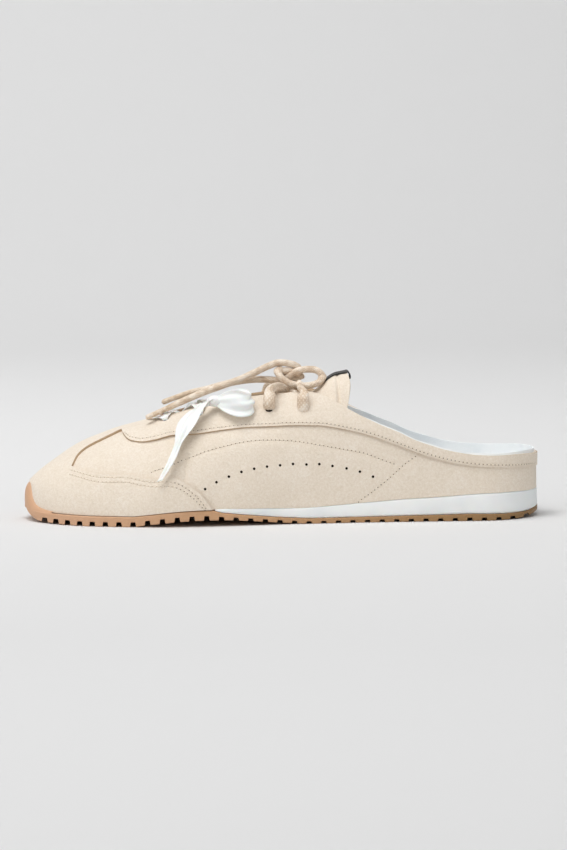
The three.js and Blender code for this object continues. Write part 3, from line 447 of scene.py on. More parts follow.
SECTION = np.array([
    (0.00, 0.6, 0.6, 0.00), (0.20, 0.6, 0.6, 0.00), (0.40, 0.7, 1.0, 0.00), (0.60, 0.8, 1.8, -0.04),
    (0.75, 1.5, 2.0, -0.05), (0.90, 2.0, 1.2, -0.03), (1.00, 2.2, 0.0, 0.05),
], dtype=[("at", float), ("inset", float), ("bulge", float), ("full", float)])
COLLAR = {0.553: 0.848, 0.579: 0.820, 0.605: 0.775, 0.632: 0.722, 0.661: 0.672, 0.687: 0.631, 0.722: 0.582,
          0.752: 0.532, 0.785: 0.493, 0.810: 0.467, 0.836: 0.448, 0.872: 0.430, 0.921: 0.423, 0.960: 0.424,
          1.010: 0.412}
THROAT = {0.246: 0.0, 0.249: 0.038, 0.258: 0.065, 0.272: 0.078, 0.320: 0.093, 0.390: 0.112, 0.448: 0.122,
          0.553: 0.146, 0.700: 0.190}
THROAT_END = 0.66
COLLAR_EARLY, CORNER_BLEND = 9, 0.035
SUEDE_THICK, TIP_FADE = 1.2, 5
SUEDE_HEX = {"low": "dfd1bd", "body": "e9dccb", "high": "f2e9dc"}
CUT_EDGE_AND_SHADE_HEX = "bda488"


def smooth_curve(at, values):
    """Curve through points without overshoot: each slope is the harmonic mean of its two chords, and 0 at a
    turn."""
    at, values = np.array(at, float), np.array(values, float)
    chord = np.diff(values) / np.diff(at)
    product = chord[:-1] * chord[1:]
    mean = np.where(product > 0, 2 * product / np.where(product > 0, chord[:-1] + chord[1:], 1), 0)
    slope = np.concatenate([[chord[0]], mean, [chord[-1]]])

    def value(x):
        x = np.clip(x, at[0], at[-1])
        i = np.clip(np.searchsorted(at, x, "right") - 1, 0, len(chord) - 1)
        h = at[i + 1] - at[i]
        u = (x - at[i]) / h
        return (values[i] * (1 + 2 * u) * (1 - u) ** 2 + slope[i] * h * u * (1 - u) ** 2
                + values[i + 1] * u ** 2 * (3 - 2 * u) - slope[i + 1] * h * u ** 2 * (1 - u))
    return value


def along_curve(table, size):
    """Curve over the stations for a table of shares: share of the length from the toe to share of a size."""
    return smooth_curve(TOE + np.array(list(table)) * LENGTH, np.array(list(table.values())) * size)


half_width = smooth_curve(OUTLINE_AT, np.multiply(OUTLINE_OF, OUTLINE_HALF))
centre_shift = smooth_curve(OUTLINE_AT, np.multiply(OUTLINE_OF, OUTLINE_SHIFT))
crest_height = smooth_curve(CREST_AT, np.multiply(CREST_OF, CREST))
lift_share, gum_share, foam_share = [smooth_curve(STACK["at"], STACK[key]) for key in ("lift", "gum", "foam")]
inset_at, bulge_at, full_at = [smooth_curve(SECTION["at"], SECTION[key]) for key in ("inset", "bulge", "full")]
collar_height = along_curve(COLLAR, INSTEP_HEIGHT)
throat_half = along_curve(THROAT, BALL_WIDTH)


def share(x):
    """Share of the length, from the heel."""
    return (HEEL - x) / LENGTH


def tread(x):
    """Height of the tread above the floor."""
    return ROCKER_LIFT * lift_share(share(x))


def gum_top(x):
    """Top of the gum slab."""
    return tread(x) + GUM_THICKNESS * gum_share(share(x))


def feather(x):
    """Line where the upper meets the sole: the gum's top plus the foam."""
    return gum_top(x) + WEDGE_HEIGHT * foam_share(share(x))


def ease(start, end, value):
    """Soft step from 0 at the start to 1 at the end: u * u * (3 - 2 u)."""
    u = np.clip((value - start) / (end - start), 0, 1)
    return u * u * (3 - 2 * u)


def end_round(distance, reach):
    """Quarter ellipse: 0 at an end, 1 from its reach on."""
    return np.sqrt(1 - np.clip(1 - distance / reach, 0, 1) ** 2)


def outline(x, inset, toe_in, heel_in):
    """Half width and centre line in plan, pulled in all round and at the two ends."""
    ends = (end_round(x - TOE - toe_in, TOE_ROUND - toe_in)
            * end_round(HEEL - heel_in - x, HEEL_ROUND - heel_in))
    return (half_width(share(x)) - inset) * ends, centre_shift(share(x))


def last(x, side, angle, grow=0.0, sag=0.0):
    """Point of the last, in mm: across goes with the cosine of the rise angle plus a low swell, height with
    its sine from the feather line to the ridge. Grow moves the surface outwards, sag lowers the ridge."""
    t = share(x)
    half, centre = outline(x, inset_at(t) - grow, TOE_BUMPER - grow, HEEL_SET_BACK - grow)
    crest = centre + RIDGE_LEAN * half
    ends = (end_round(x - TOE - TOE_BUMPER + grow, TOE_SWELL_START)
            * end_round(HEEL - HEEL_SET_BACK + grow - x, HEEL_SWELL_START))
    swell = bulge_at(t) * np.sin(np.minimum(SWELL_REACH * angle, math.pi)) * ends
    across = (half + side * (centre - crest)) * np.cos(angle) * (1 + full_at(t) * np.sin(2 * angle)) + swell
    floor = feather(x) + GAP
    height = floor + (crest_height(t) + grow - floor - sag) * np.sin(angle)
    return np.stack(np.broadcast_arrays(x, crest + side * across, height), -1)


def ridge(x):
    """Sideways place of the ridge."""
    return last(x, 1, math.pi / 2)[..., 1]


def angle_where(x, side, below, grow=0.0):
    """Rise angle at which a test stops being true, found by halving the range 30 times."""
    low = np.zeros(np.shape(x))
    high = np.full(np.shape(x), math.pi / 2)
    for _ in range(30):
        middle = (low + high) / 2
        under = below(last(x, side, middle, grow))
        low, high = np.where(under, middle, low), np.where(under, high, middle)
    return (low + high) / 2


def angle_at_height(x, side, height, grow=0.0):
    """Rise angle at which the last reaches a height."""
    return angle_where(x, side, lambda p: p[..., 2] < height, grow)


def angle_beside_ridge(x, side, aside, grow=0.0):
    """Rise angle at which the last is a set distance sideways from its ridge."""
    middle = ridge(x)
    return angle_where(x, side, lambda p: np.abs(p[..., 1] - middle) > aside, grow)


def top_angle(x, side, grow=0.0, back=0.0):
    """Upper edge: the ridge in front of the throat, then the throat's edge, then the collar. Where the throat's
    edge meets the collar the corner is rounded by a soft minimum of the two angles, -b log(e^-t/b + e^-c/b)."""
    throat = angle_beside_ridge(x, side, throat_half(x) + back, grow)
    slot = (x > TOE + min(THROAT) * LENGTH - back) & (x < TOE + THROAT_END * LENGTH)
    throat = np.where(slot, throat, math.pi / 2)
    collar = angle_at_height(x, side, collar_height(x) - back, grow)
    started = x > TOE + min(COLLAR) * LENGTH - COLLAR_EARLY
    soft = -CORNER_BLEND * np.log(np.exp(-throat / CORNER_BLEND) + np.exp(-collar / CORNER_BLEND))
    return np.where(started, np.minimum(soft, math.pi / 2), throat)


def stations(front, back, count):
    """Stations along the shoe, close together at both ends, by the cosine of even angles."""
    return front + (back - front) * (1 - np.cos(np.linspace(0, math.pi, count + 1))) / 2


def near(points, marks):
    """Sum of soft troughs and ridges, depth * exp(-(distance / width) ** 2) from each given line."""
    flat = points.reshape(-1, 3)
    total = np.zeros(len(flat))
    for line, depth, width in marks:
        parts = np.array_split(flat, max(len(flat) // 4000, 1))
        nearest = np.concatenate([((part[:, None] - line[None]) ** 2).sum(-1).min(1) for part in parts])
        total += depth * np.exp(-nearest / width ** 2)
    return total.reshape(points.shape[:-1])


def no_growth(x):
    """Growth of the vamp and quarters: they lie on the last itself."""
    return 0 * x


def on_side(rows, side, grow=no_growth):
    """Line on the last's side through places given as (mm from the toe, height): each point is lifted onto
    the surface at its station and height. Grow is a function of the station. Gives stations, angles and
    growths."""
    flat = np.array(rows, float)
    fine = course(np.column_stack([TOE + flat[:, 0], np.zeros(len(flat)), flat[:, 1]]), 0.8)
    x, z = fine[:, 0], fine[:, 2]
    out = grow(x)
    return x, angle_at_height(x, side, z, out), out


def outward(x, side, angle, grow):
    """Unit normal of the last: the cross product of its two slopes, turned to the side that growth moves it
    to."""
    along = last(x + 0.05, side, angle, grow) - last(x - 0.05, side, angle, grow)
    round_it = last(x, side, angle + 0.004, grow) - last(x, side, angle - 0.004, grow)
    normal = unit(np.cross(along, round_it))
    away = last(x, side, angle, grow + 0.5) - last(x, side, angle, grow)
    return normal * np.sign((normal * away).sum(-1, keepdims=True))


def suede_sheet(x, low, high, side, rows, grow, relief):
    """Half of a leather piece: rise angles run evenly from its lower to its upper edge at every station, and
    the relief, which fades at the tips, moves each point along its normal. The medial half is reversed, so
    that both face out."""
    v = np.linspace(0, 1, rows + 1)
    angle = low[:, None] + (high - low)[:, None] * v
    stretch = np.broadcast_to(x[:, None], angle.shape)
    grow = np.broadcast_to(grow, x.shape)[:, None]
    flat = last(stretch, side, angle, grow)
    from_tips = np.minimum(stretch - TOE - TOE_BUMPER + grow, HEEL - HEEL_SET_BACK + grow - stretch)
    height = relief(flat, side) * np.clip(from_tips / TIP_FADE, 0, 1)
    shaped = flat + outward(stretch, side, angle, grow) * np.expand_dims(height, -1)
    return shaped if side < 0 else shaped[::-1]


def brushed_suede(name, tones):
    """Brushed calf suede: a matt nap with fibres about 0.3 mm, drawn 0.7 mm wide so that they show, hand marks
    about 18 mm wide where the nap lies the other way, and a weak sheen from the fibre tips."""
    material, tree, shader = finish_named(
        name, {"Roughness": 0.95, "Sheen Weight": 0.22, "Sheen Roughness": 0.6, "Specular IOR Level": 0.15})
    place = add(tree, "ShaderNodeTexCoord").outputs["Object"]
    marks = add(tree, "ShaderNodeTexNoise",
                {"Vector": place, "Scale": 55.0, "Detail": 3.0, "Distortion": 0.6}).outputs["Fac"]
    nap = add(tree, "ShaderNodeTexNoise",
              {"Vector": place, "Scale": 1500.0, "Detail": 2.0, "Roughness": 0.7}).outputs["Fac"]
    pores = add(tree, "ShaderNodeTexNoise", {"Vector": place, "Scale": 800.0, "Detail": 3.0}).outputs["Fac"]
    fibre = add(tree, "ShaderNodeMath", {0: nap, 1: pores}, operation="ADD").outputs[0]
    cloud = add(tree, "ShaderNodeMath", {0: marks, 1: 0.2}, operation="MULTIPLY").outputs[0]
    tone = add(tree, "ShaderNodeMath", {0: fibre, 1: 0.4, 2: cloud}, operation="MULTIPLY_ADD").outputs[0]
    add(tree, "ShaderNodeValToRGB", {"Fac": tone}, to=shader.inputs["Base Color"],
        stops=[(0.32, tones["low"]), (0.5, tones["body"]), (0.68, tones["high"])])
    add(tree, "ShaderNodeBump", {"Height": fibre, "Strength": 0.6, "Distance": 0.0003},
        to=shader.inputs["Normal"])
    return material


# Seams and creases of the worn vamp, as lines of (mm from the toe, height); marks add depth and width in mm
ARCH_STITCH = [(64.1, 27.5), (66.4, 28.6), (69.3, 29.5), (77.5, 32.4), (81.5, 34.2), (86.6, 35.8),
               (91.8, 37.8), (97.4, 39.4), (105.8, 41.4), (116.6, 43.2), (128.5, 43.4), (139.9, 42.5),
               (153.9, 40.1), (164.9, 38.0), (175.6, 35.8), (186.8, 31.5), (192.1, 29.6)]
BACK_STITCH = [(202.7, 34.4), (196.4, 30.0), (192.2, 26.4), (188.1, 22.7), (183.5, 19.1), (178.8, 15.4),
               (174.4, 12.5), (171.9, 10.4)]
SIDE_SEAM = [(84.0, 36.5), (83.0, 33.0), (82.6, 29.0), (82.0, 24.5)]
PULLED_IN = [
    ([(113, 53.5), (119, 51.0), (125, 52.5)], -1.3, 7.0),
    ([(84, 50), (94, 48), (102, 50)], -0.6, 6.0),
]
UPPER_MARKS = [
    (ARCH_STITCH, -0.28, 1.6), (BACK_STITCH, -0.25, 1.5), (SIDE_SEAM, -0.8, 1.1),
    ([(96, 12), (101, 20), (104, 28)], -0.5, 7), ([(146, 14), (150, 22), (152, 30)], -0.30, 9),
    ([(58, 30), (66, 38), (78, 44)], -0.35, 6), ([(40, 30), (48, 36), (58, 40)], 0.20, 6), *PULLED_IN,
]
suede = brushed_suede("brushed_suede", SUEDE_HEX)
# Cut edge: raw suede, darker than the face, and darkened further as painted shade for the thin shadow line along
# each overlay's edge.
cut_edge_and_shade, _, _ = finish_named("cut_suede_edge_and_painted_shade", {"Base Color": linear(CUT_EDGE_AND_SHADE_HEX), "Roughness": 1.0})


def marked(points, side, marks, grow=no_growth, more=()):
    """Relief of marks whose lines are laid on the last's side, and of more marks whose points are given."""
    placed = []
    for row, depth, width in marks:
        x, angle, out = on_side(row, side, grow)
        placed.append((last(x, side, angle, out), depth, width))
    return near(points, placed + list(more))


def pulled_in(points, side):
    """The two soft dents that the tied laces pull into the side, alike in quarter, band and lining."""
    return marked(points, side, PULLED_IN)


def upper_relief(points, side):
    """Stitch rows pull the suede in by about 0.3 mm, the side seam by 0.8 mm; soft dents lie behind the cap."""
    return marked(points, side, UPPER_MARKS)


x = stations(TOE + TOE_BUMPER, HEEL - HEEL_SET_BACK, 340)
halves = [suede_sheet(x, 0 * x, top_angle(x, side), side, 54, 0.0, upper_relief) for side in (-1, 1)]
quarters = skin("vamp_and_quarters", halves, suede)
wall(quarters, SUEDE_THICK, -1, 0.35)
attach(quarters, "root")
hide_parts("upper")


# Lining: thin pale textile bonded inside the suede, which shows as a white edge above the collar. The table
# says how far it stands above the collar, in mm for each share of the length.
LINING_THICK, LINING_FROM, LINING_BACK = 0.8, 0.60, 0.6
PROUD = {0.0: -0.6, 0.64: -0.4, 0.67: 0.4, 0.80: 0.6, 0.93: 1.0, 1.0: 2.2}
LINING_HEX = {"shade": "e8edf0", "body": "f4f7f8", "light": "fcfdfd"}


def knitted_lining(name):
    """Warp-knit textile, bonded on foam: fine loops 0.9 mm apart, matt, faintly blue in the shade."""
    material, tree, shader = finish_named(name, {"Roughness": 0.9, "Sheen Weight": 0.15})
    place = add(tree, "ShaderNodeTexCoord").outputs["Object"]
    loops = add(tree, "ShaderNodeTexVoronoi", {"Vector": place, "Scale": 1100.0}).outputs["Distance"]
    cloud = add(tree, "ShaderNodeTexNoise", {"Vector": place, "Scale": 60.0, "Detail": 2.0}).outputs["Fac"]
    add(tree, "ShaderNodeValToRGB", {"Fac": cloud}, to=shader.inputs["Base Color"],
        stops=[(0.3, LINING_HEX["shade"]), (0.5, LINING_HEX["body"]), (0.8, LINING_HEX["light"])])
    add(tree, "ShaderNodeBump", {"Height": loops, "Strength": 0.3, "Distance": 0.0002},
        to=shader.inputs["Normal"])
    return material


lining_textile = knitted_lining("knitted_lining")
inside = -SUEDE_THICK
x = stations(TOE + TOE_BUMPER - inside, HEEL - HEEL_SET_BACK + inside, 200)
proud = along_curve(PROUD, 1.0)
halves = []
for side in (-1, 1):
    above = angle_at_height(x, side, collar_height(x) + proud(x), inside)
    top = np.where(x > TOE + LINING_FROM * LENGTH, above, top_angle(x, side, inside, LINING_BACK))
    halves.append(suede_sheet(x, 0 * x, top, side, 26, inside, pulled_in))
lining = skin("collar_lining", halves, lining_textile)
wall(lining, LINING_THICK, -1, 0.3)
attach(lining, "root")


# Toe overlay: a second piece of suede, a cap round the toe with a strip up the ridge, stitched down in two
# rows. Cap and strip leave one rounded corner, each by 1 - exp(-distance / CORNER_RUN).
CAP_TOP = {-0.010: 0.560, 0.064: 0.560, 0.082: 0.385, 0.115: 0.350, 0.140: 0.337, 0.168: 0.334, 0.202: 0.333,
           0.225: 0.317, 0.251: 0.309, 0.276: 0.314, 0.288: 0.319, 0.303: 0.293, 0.320: 0.258, 0.333: 0.224,
           0.344: 0.184, 0.360: 0.105}
STRIP_HALF = {0.060: 0.290, 0.085: 0.245, 0.093: 0.213, 0.100: 0.187, 0.108: 0.169, 0.118: 0.155, 0.147: 0.131,
              0.170: 0.111, 0.184: 0.089}
CAP_CORNER, CAP_BACK, STRIP_BACK, CORNER_RUN = 0.090, 0.358, 0.192, 1.2
cap_height = along_curve(CAP_TOP, INSTEP_HEIGHT)
strip_half = along_curve(STRIP_HALF, BALL_WIDTH)
FACE = GAP + OVERLAY
OVERLAP, CUT_ROUND = 0.2, 0.25
CAP_ROWS_APART = 2.3
CAP_STITCH = [(22.4, 28.2), (30.7, 26.4), (36.7, 25.2), (45.0, 25.2), (54.1, 25.1), (60.3, 23.8), (67.4, 23.2),
              (74.0, 23.4), (79.5, 22.0), (84.6, 18.6), (88.2, 15.4), (91.4, 11.6), (93.6, 8.4)]
LOWER_CAP_STITCH = [(s, z - CAP_ROWS_APART) for s, z in CAP_STITCH]
CAP_MARKS = [
    (CAP_STITCH, -0.22, 1.0), (LOWER_CAP_STITCH, -0.18, 1.0), ([(40, 12), (46, 17), (56, 19)], -0.25, 8),
]


def cap_face(x):
    """Growth of the cap's face: one overlay above the suede."""
    return 0 * x + FACE


def cap_edges(x, side):
    """Upper edge of the cap and near edge of the strip, both leaving one rounded corner."""
    corner_x = np.array([TOE + CAP_CORNER * LENGTH])
    corner = angle_at_height(corner_x, side, cap_height(corner_x), FACE)[0]
    low = angle_at_height(x, side, cap_height(x), FACE)
    high = angle_beside_ridge(x, side, strip_half(x), FACE)
    gone = 1 - np.exp(-np.clip(x - corner_x[0], 0, None) / CORNER_RUN)
    return corner, corner + (low - corner) * gone, corner + (high - corner) * gone


def cap_relief(points, side):
    """Both stitch rows pull the cap in, and a shallow dent lies above the sole."""
    return marked(points, side, CAP_MARKS, cap_face)


cap_tip, corner_x = TOE + TOE_BUMPER - FACE, TOE + CAP_CORNER * LENGTH
patches = []
for side in (-1, 1):
    x = cap_tip + (corner_x - cap_tip) * (1 - np.cos(np.linspace(0, math.pi / 2, 90)))
    corner = 0 * x + cap_edges(x, side)[0]
    cap_x = corner_x + (CAP_BACK - CAP_CORNER) * LENGTH * np.linspace(0, 1, 110) ** 1.5
    strip_x = corner_x + (STRIP_BACK - CAP_CORNER) * LENGTH * np.linspace(0, 1, 50) ** 1.5
    for run, low, high in [
        (x, 0 * x, corner), (x, corner, 0 * x + math.pi / 2),
        (cap_x, 0 * cap_x, cap_edges(cap_x, side)[1]),
        (strip_x, cap_edges(strip_x, side)[2], 0 * strip_x + math.pi / 2),
    ]:
        patches.append(suede_sheet(run, low, high, side, 24, FACE, cap_relief))
toe_overlay = skin("toe_overlay", patches, suede)
wall(toe_overlay, OVERLAY + OVERLAP, -1, CUT_ROUND, cut_edge_and_shade)
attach(toe_overlay, "root")
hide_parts("toe_cap")


# Eyestay band: one more piece of suede round the throat, running back under the collar to the heel, stitched
# along its lower edge. Its cut edge stands 1.1 mm above the quarter.
BAND_LOW = {0.186: 0.640, 0.190: 0.585, 0.205: 0.545, 0.224: 0.538, 0.250: 0.552, 0.287: 0.584, 0.328: 0.596,
            0.381: 0.620, 0.444: 0.640, 0.507: 0.638, 0.563: 0.635, 0.619: 0.606, 0.668: 0.563, 0.728: 0.488,
            0.765: 0.440, 0.795: 0.408, 0.828: 0.380, 0.869: 0.357, 0.933: 0.343, 1.010: 0.332}
BAND_STITCH_IN = 1.3
BAND_FRONT = (0.186, 0.2)
EYELET_ROWS = [0.272, 0.339, 0.405, 0.472, 0.538]
EYELET_BACK, FRONT_EYELET_IN, EYELET_RADIUS = 8.3, 2.5, 2.2
HEEL_THINNED, THINNED_OVER = 0.8, 70
band_low = along_curve(BAND_LOW, INSTEP_HEIGHT)
stitched = np.linspace(52, 266.5, 200)
BAND_EDGE = np.column_stack([stitched, band_low(TOE + stitched)])
BAND_STITCH = np.column_stack([stitched, band_low(TOE + stitched) + BAND_STITCH_IN])
BAND_MARKS = [
    (BAND_STITCH, -0.16, 0.9), (BAND_EDGE, -0.25, 0.8), *PULLED_IN, ([(66, 47), (78, 50), (88, 52)], 0.35, 4),
]
EYELET_DENT = (-0.45, 3.2)


def band_face(x):
    """Growth of the band's face: one overlay above the suede, thinned towards the heel."""
    return FACE - HEEL_THINNED * ease(HEEL - THINNED_OVER, HEEL, x)


def eyelet_seat(row, side):
    """Middle of an eyelet on the band's face, its rise angle and the way out of it: it lies a set distance
    beyond the edge of the throat."""
    x = np.array(TOE + EYELET_ROWS[row] * LENGTH)
    wanted = throat_half(x) + EYELET_BACK - (FRONT_EYELET_IN if row == 0 else 0)
    angle = angle_beside_ridge(x, side, wanted, FACE)
    return last(x, side, angle, FACE), angle, outward(x, side, angle, FACE)


def band_relief(points, side):
    """The stitch row pulls the band in, its lower edge is pressed down, and the laces pull in the eyestay."""
    dents = [(np.array([eyelet_seat(row, side)[0]]), *EYELET_DENT) for row in range(len(EYELET_ROWS))]
    return marked(points, side, BAND_MARKS, band_face, dents)


ahead = np.linspace(TOE + BAND_FRONT[0] * LENGTH, TOE + BAND_FRONT[1] * LENGTH, 400)
band_front = ahead[np.argmax(band_low(ahead) < crest_height(share(ahead)) + FACE)]
x = stations(band_front, HEEL - HEEL_SET_BACK + band_face(HEEL), 420)
halves = []
for side in (-1, 1):
    face = band_face(x)
    low = angle_at_height(x, side, band_low(x), face)
    top = np.maximum(top_angle(x, side, face), low)
    halves.append(suede_sheet(x, low, top, side, 24, face, band_relief))
eyestay = skin("eyestay_and_collar_band", halves, suede)
wall(eyestay, OVERLAY + OVERLAP, -1, CUT_ROUND, cut_edge_and_shade)
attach(eyestay, "root")
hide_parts("eyestay_band")


# Tongue: suede over thin foam, sewn in at the front of the throat. It sags between the eyestays, stands up at
# its free end, and has one seam across near that end, 0.5 mm deep.
TONGUE_THICK, TONGUE_CLEAR, TONGUE_SAG, TONGUE_HALF = 2.6, 0.5, 3.4, 21.0
TONGUE_FRONT, TONGUE_SEAM, FLARE = 0.225, 0.608, 1.6
SEAM_WIDE, SEAM_DEEP, SEAM_NARROWS = 0.8, 0.5, 0.075
FRONT_WIDTH_SHARE, WIDENS_OVER = 0.6, 0.17
TONGUE_BACK = {0.600: 0.614, 0.830: 0.629, 0.900: 0.631, 0.955: 0.627, 1.010: 0.611}
tongue_back = smooth_curve(np.array(list(TONGUE_BACK)) * INSTEP_HEIGHT,
                           TOE + np.array(list(TONGUE_BACK.values())) * LENGTH)
TONGUE_TOP = -WALL - TONGUE_CLEAR


def tongue_sag(x):
    """The tongue hangs lower between the eyestays, rises again behind them and flares up at its free end."""
    along = (x - TOE) / LENGTH
    sag = TONGUE_SAG * (ease(TONGUE_FRONT, 0.42, along) - ease(0.552, 0.608, along))
    return sag - FLARE * (ease(0.560, 0.592, along) - ease(0.598, 0.632, along))


def tongue_sheet(front, across, width, grow, columns, past=0.0):
    """Sheet from a front station to the tongue's curved free end, and across from -1 to 1 times a half width,
    which grows from its share at the front. The end is found in 12 rounds from the height that it has there."""
    v = np.linspace(-1, 1, across + 1)[None, :]
    u = np.linspace(0, 1, columns + 1)[:, None]
    end = np.full((1, across + 1), TOE + 0.62 * LENGTH)
    widens = (1 - FRONT_WIDTH_SHARE) * (THROAT_END - (front - TOE) / LENGTH) / WIDENS_OVER
    for _ in range(12):
        x = front + (end + past - front) * u
        reach = width * np.minimum(FRONT_WIDTH_SHARE + widens * u, 1) * np.abs(v)
        side = np.where(v < 0, -1, 1) + 0 * x
        angle = angle_beside_ridge(x, side, reach, grow)
        placed = last(x, side, angle, grow, tongue_sag(x))
        end = tongue_back(placed[-1:, :, 2])
    return placed


tongue_grid = tongue_sheet(TOE + TONGUE_FRONT * LENGTH, 60, TONGUE_HALF, TONGUE_TOP, 220)
seam = np.exp(-((tongue_grid[..., 0] - TOE - TONGUE_SEAM * LENGTH) / SEAM_WIDE) ** 2)
pulled = np.stack([SEAM_NARROWS * tongue_grid[..., 1], SEAM_DEEP + 0 * seam], -1)
tongue_grid[..., 1:] -= seam[..., None] * pulled
tongue = skin("padded_tongue", [tongue_grid], suede)
wall(tongue, TONGUE_THICK, -1, 0.7)
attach(tongue, "root")
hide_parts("tongue")


# Tongue label: a blank dark woven tape, folded over the free end of the tongue and sewn down.
LABEL_THICK, LABEL_FRONT, LABEL_HALF = 0.5, 0.578, 6.0
LABEL_FOLD = 0.9
LABEL_HEX = {"dark": "242321", "light": "4b4947"}


def woven_tape(name):
    """Damask tape: polyester threads 0.4 mm apart, drawn 1.4 mm apart so that they show."""
    material, tree, shader = finish_named(name, {"Roughness": 0.7, "Sheen Weight": 0.1})
    place = add(tree, "ShaderNodeTexCoord").outputs["Object"]
    threads = add(tree, "ShaderNodeTexWave", {"Vector": place, "Scale": 220.0, "Distortion": 0.4},
                  bands_direction="Y").outputs["Fac"]
    add(tree, "ShaderNodeValToRGB", {"Fac": threads}, to=shader.inputs["Base Color"],
        stops=[(0, LABEL_HEX["dark"]), (1, LABEL_HEX["light"])])
    add(tree, "ShaderNodeBump", {"Height": threads, "Strength": 0.4, "Distance": 0.0001},
        to=shader.inputs["Normal"])
    return material


label_front = TOE + LABEL_FRONT * LENGTH
above, below = TONGUE_TOP + GAP + LABEL_THICK / 2, TONGUE_TOP - TONGUE_THICK - GAP - LABEL_THICK / 2
over, under = [tongue_sheet(label_front, 40, LABEL_HALF, grow, 16, GAP) for grow in (above, below)]
turn = np.linspace(0, math.pi, 9)[1:-1, None, None]
middle, reach = (over[-1] + under[-1]) / 2, (over[-1] - under[-1]) / 2
back = unit(over[-1] - over[-2]) * LABEL_FOLD
fold = middle + reach * np.cos(turn) + back * np.sin(turn)
label_grid = np.concatenate([over, fold, under[::-1]])
label = skin("blank_tongue_label", [label_grid], woven_tape("woven_label_tape"))
wall(label, LABEL_THICK, 0)
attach(label, "root")
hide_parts("tongue_label")


# Lace in the eyestay: one bar of the cord crosses the tongue between the last two rows, a second one comes
# from the medial side and dives under it, and the riser comes out of the last lateral eyelet up to the knot.
CORD_CLEAR, EYELET_SUNK, BEND_SUNK, BEND_RISE = 2.5, 4.0, 0.4, 0.9
LEAN_AT = (0.12, 0.5, 1.0)
DIVE_IN, DIVE_DOWN = 1.5, 0.45
RISER = [(10.1, -25.2, 61.6), (10.1, -24.8, 64.6), (10.2, -21.0, 67.0), (10.0, -14.0, 68.4),
         (9.5, -8.0, 70.2)]
ARCH = [(-7.6, -25.2, 61.4), (-7.2, -24.4, 65.1), (-6.1, -20.5, 68.2), (-3.0, -15.6, 69.2),
        (1.0, -10.0, 67.4)]
PRESSED_WIDE, PRESSED_THICK = 5.9, 3.1


def over_eyestay(row, side, lean, clear):
    """Way of a lace from inside an eyelet up over the eyestay to the throat's edge, clear of the suede."""
    seat, angle, out = eyelet_seat(row, side)
    edge_x = np.array(seat[0] + lean)
    edge = angle_beside_ridge(edge_x, side, throat_half(edge_x), FACE)
    over = [last(seat[0] + u * lean, side, angle + u * (edge - angle), FACE + clear) for u in LEAN_AT]
    return [seat - out * EYELET_SUNK, seat - out * BEND_SUNK + (0, 0, BEND_RISE), *over]


def crossing(from_row, from_side, to_row, clear, over=True):
    """Way of a lace over the tongue to the other side, or down behind the far edge of the throat."""
    start = over_eyestay(from_row, from_side, 2, clear)
    end = over_eyestay(to_row, -from_side, -2, clear)[::-1]
    x = np.array((start[-1][0] + end[0][0]) / 2)
    bed = last(x, 1, math.pi / 2, TONGUE_TOP, tongue_sag(x))[2]
    middle = np.array([x, ridge(x), bed + clear + 2 * GAP])
    if over:
        return [*start, middle, *end]
    dive = end[0] + (0, from_side * (clear + DIVE_IN), 0)
    dive[2] = middle[2] - DIVE_DOWN * TONGUE_SAG
    return [*start, middle, dive]


for name, points, node in [
    ("lace_bar_over", [*over_eyestay(3, -1, 2, CORD_CLEAR)[:2], *ARCH, *crossing(3, -1, 4, CORD_CLEAR)[5:]],
     "lace_bars"),
    ("lace_bar_under", crossing(3, 1, 4, CORD_CLEAR, False), "lace_bars"),
    ("lace_riser", [*over_eyestay(4, -1, -1, CORD_CLEAR)[:2], *RISER], "lace_riser"),
]:
    line = course(points, 0.5)
    grid, length_map = cord_grid(line, (0.1, 0.9, 0.35), PRESSED_WIDE, PRESSED_THICK)
    bar = skin(name, [grid], lace_cotton, [length_map])
    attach(bar, "root")
    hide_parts(node)


# Ribbon in the front rows: narrow gathered bars of the satin ribbon, crossing over the tongue. The one from the
# medial side lies over the other where they cross, and a straight bar closes the front.
RIBBON_CLEAR, BAR_HALF, BAR_OVER, BAR_CRUMPLE = 1.3, 2.2, 0.6, 0.15
BAR_PINCH = [0.5, 0.6, 0.8, 1, 1, 1, 1, 1, 0.8, 0.6, 0.5]
FRONT_BAR, FRONT_BAR_PROUD = [(0.6, 13.0, 1.0), (3.2, 9.4, 2.2), (5.6, 5.6, 2.6), (7.0, 0.0, 2.4)], 1.1
bars = []
for from_row, from_side, to_row in [(0, -1, 1), (0, 1, 1), (1, -1, 2), (1, 1, 2)]:
    way = np.array(crossing(from_row, from_side, to_row, RIBBON_CLEAR))
    way[:, 2] += BAR_OVER * (from_side > 0) * np.exp(-(np.arange(len(way)) - 5.0) ** 2 / 2)
    run = unit(way[-1] - way[0])
    half = np.array([-run[1], run[0], 0]) * BAR_HALF
    rows = [{"at": tuple(at), "half": tuple(half * pinch)} for at, pinch in zip(way, BAR_PINCH)]
    bars.append(ribbon_grid(rows, BAR_CRUMPLE, 50, 12))


def front_bar(side):
    """Half of the straight bar in the front row, as centres with half widths that lie along the suede."""
    seat, _, out = eyelet_seat(0, side)
    rows = [{"at": tuple(seat - out * EYELET_SUNK), "half": (0.6, 0, 0.3)}]
    for ahead, aside, half in FRONT_BAR:
        ends = []
        for x in (seat[0] - ahead - half, seat[0] - ahead + half):
            x = np.array(x)
            angle = angle_beside_ridge(x, side, aside, FACE)
            ends.append(last(x, side, angle, FACE + FRONT_BAR_PROUD))
        rows.append({"at": tuple((ends[0] + ends[1]) / 2), "half": tuple((ends[1] - ends[0]) / 2)})
    return rows


bars.append(ribbon_grid([*front_bar(-1), *front_bar(1)[-2::-1]], 0.0, 60, 12))
ribbon_bars = skin("ribbon_bars", [grid for grid, _ in bars], white_satin, [uv for _, uv in bars])
wall(ribbon_bars, SATIN_THICK, 0)
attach(ribbon_bars, "root")
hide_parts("ribbon_bars")
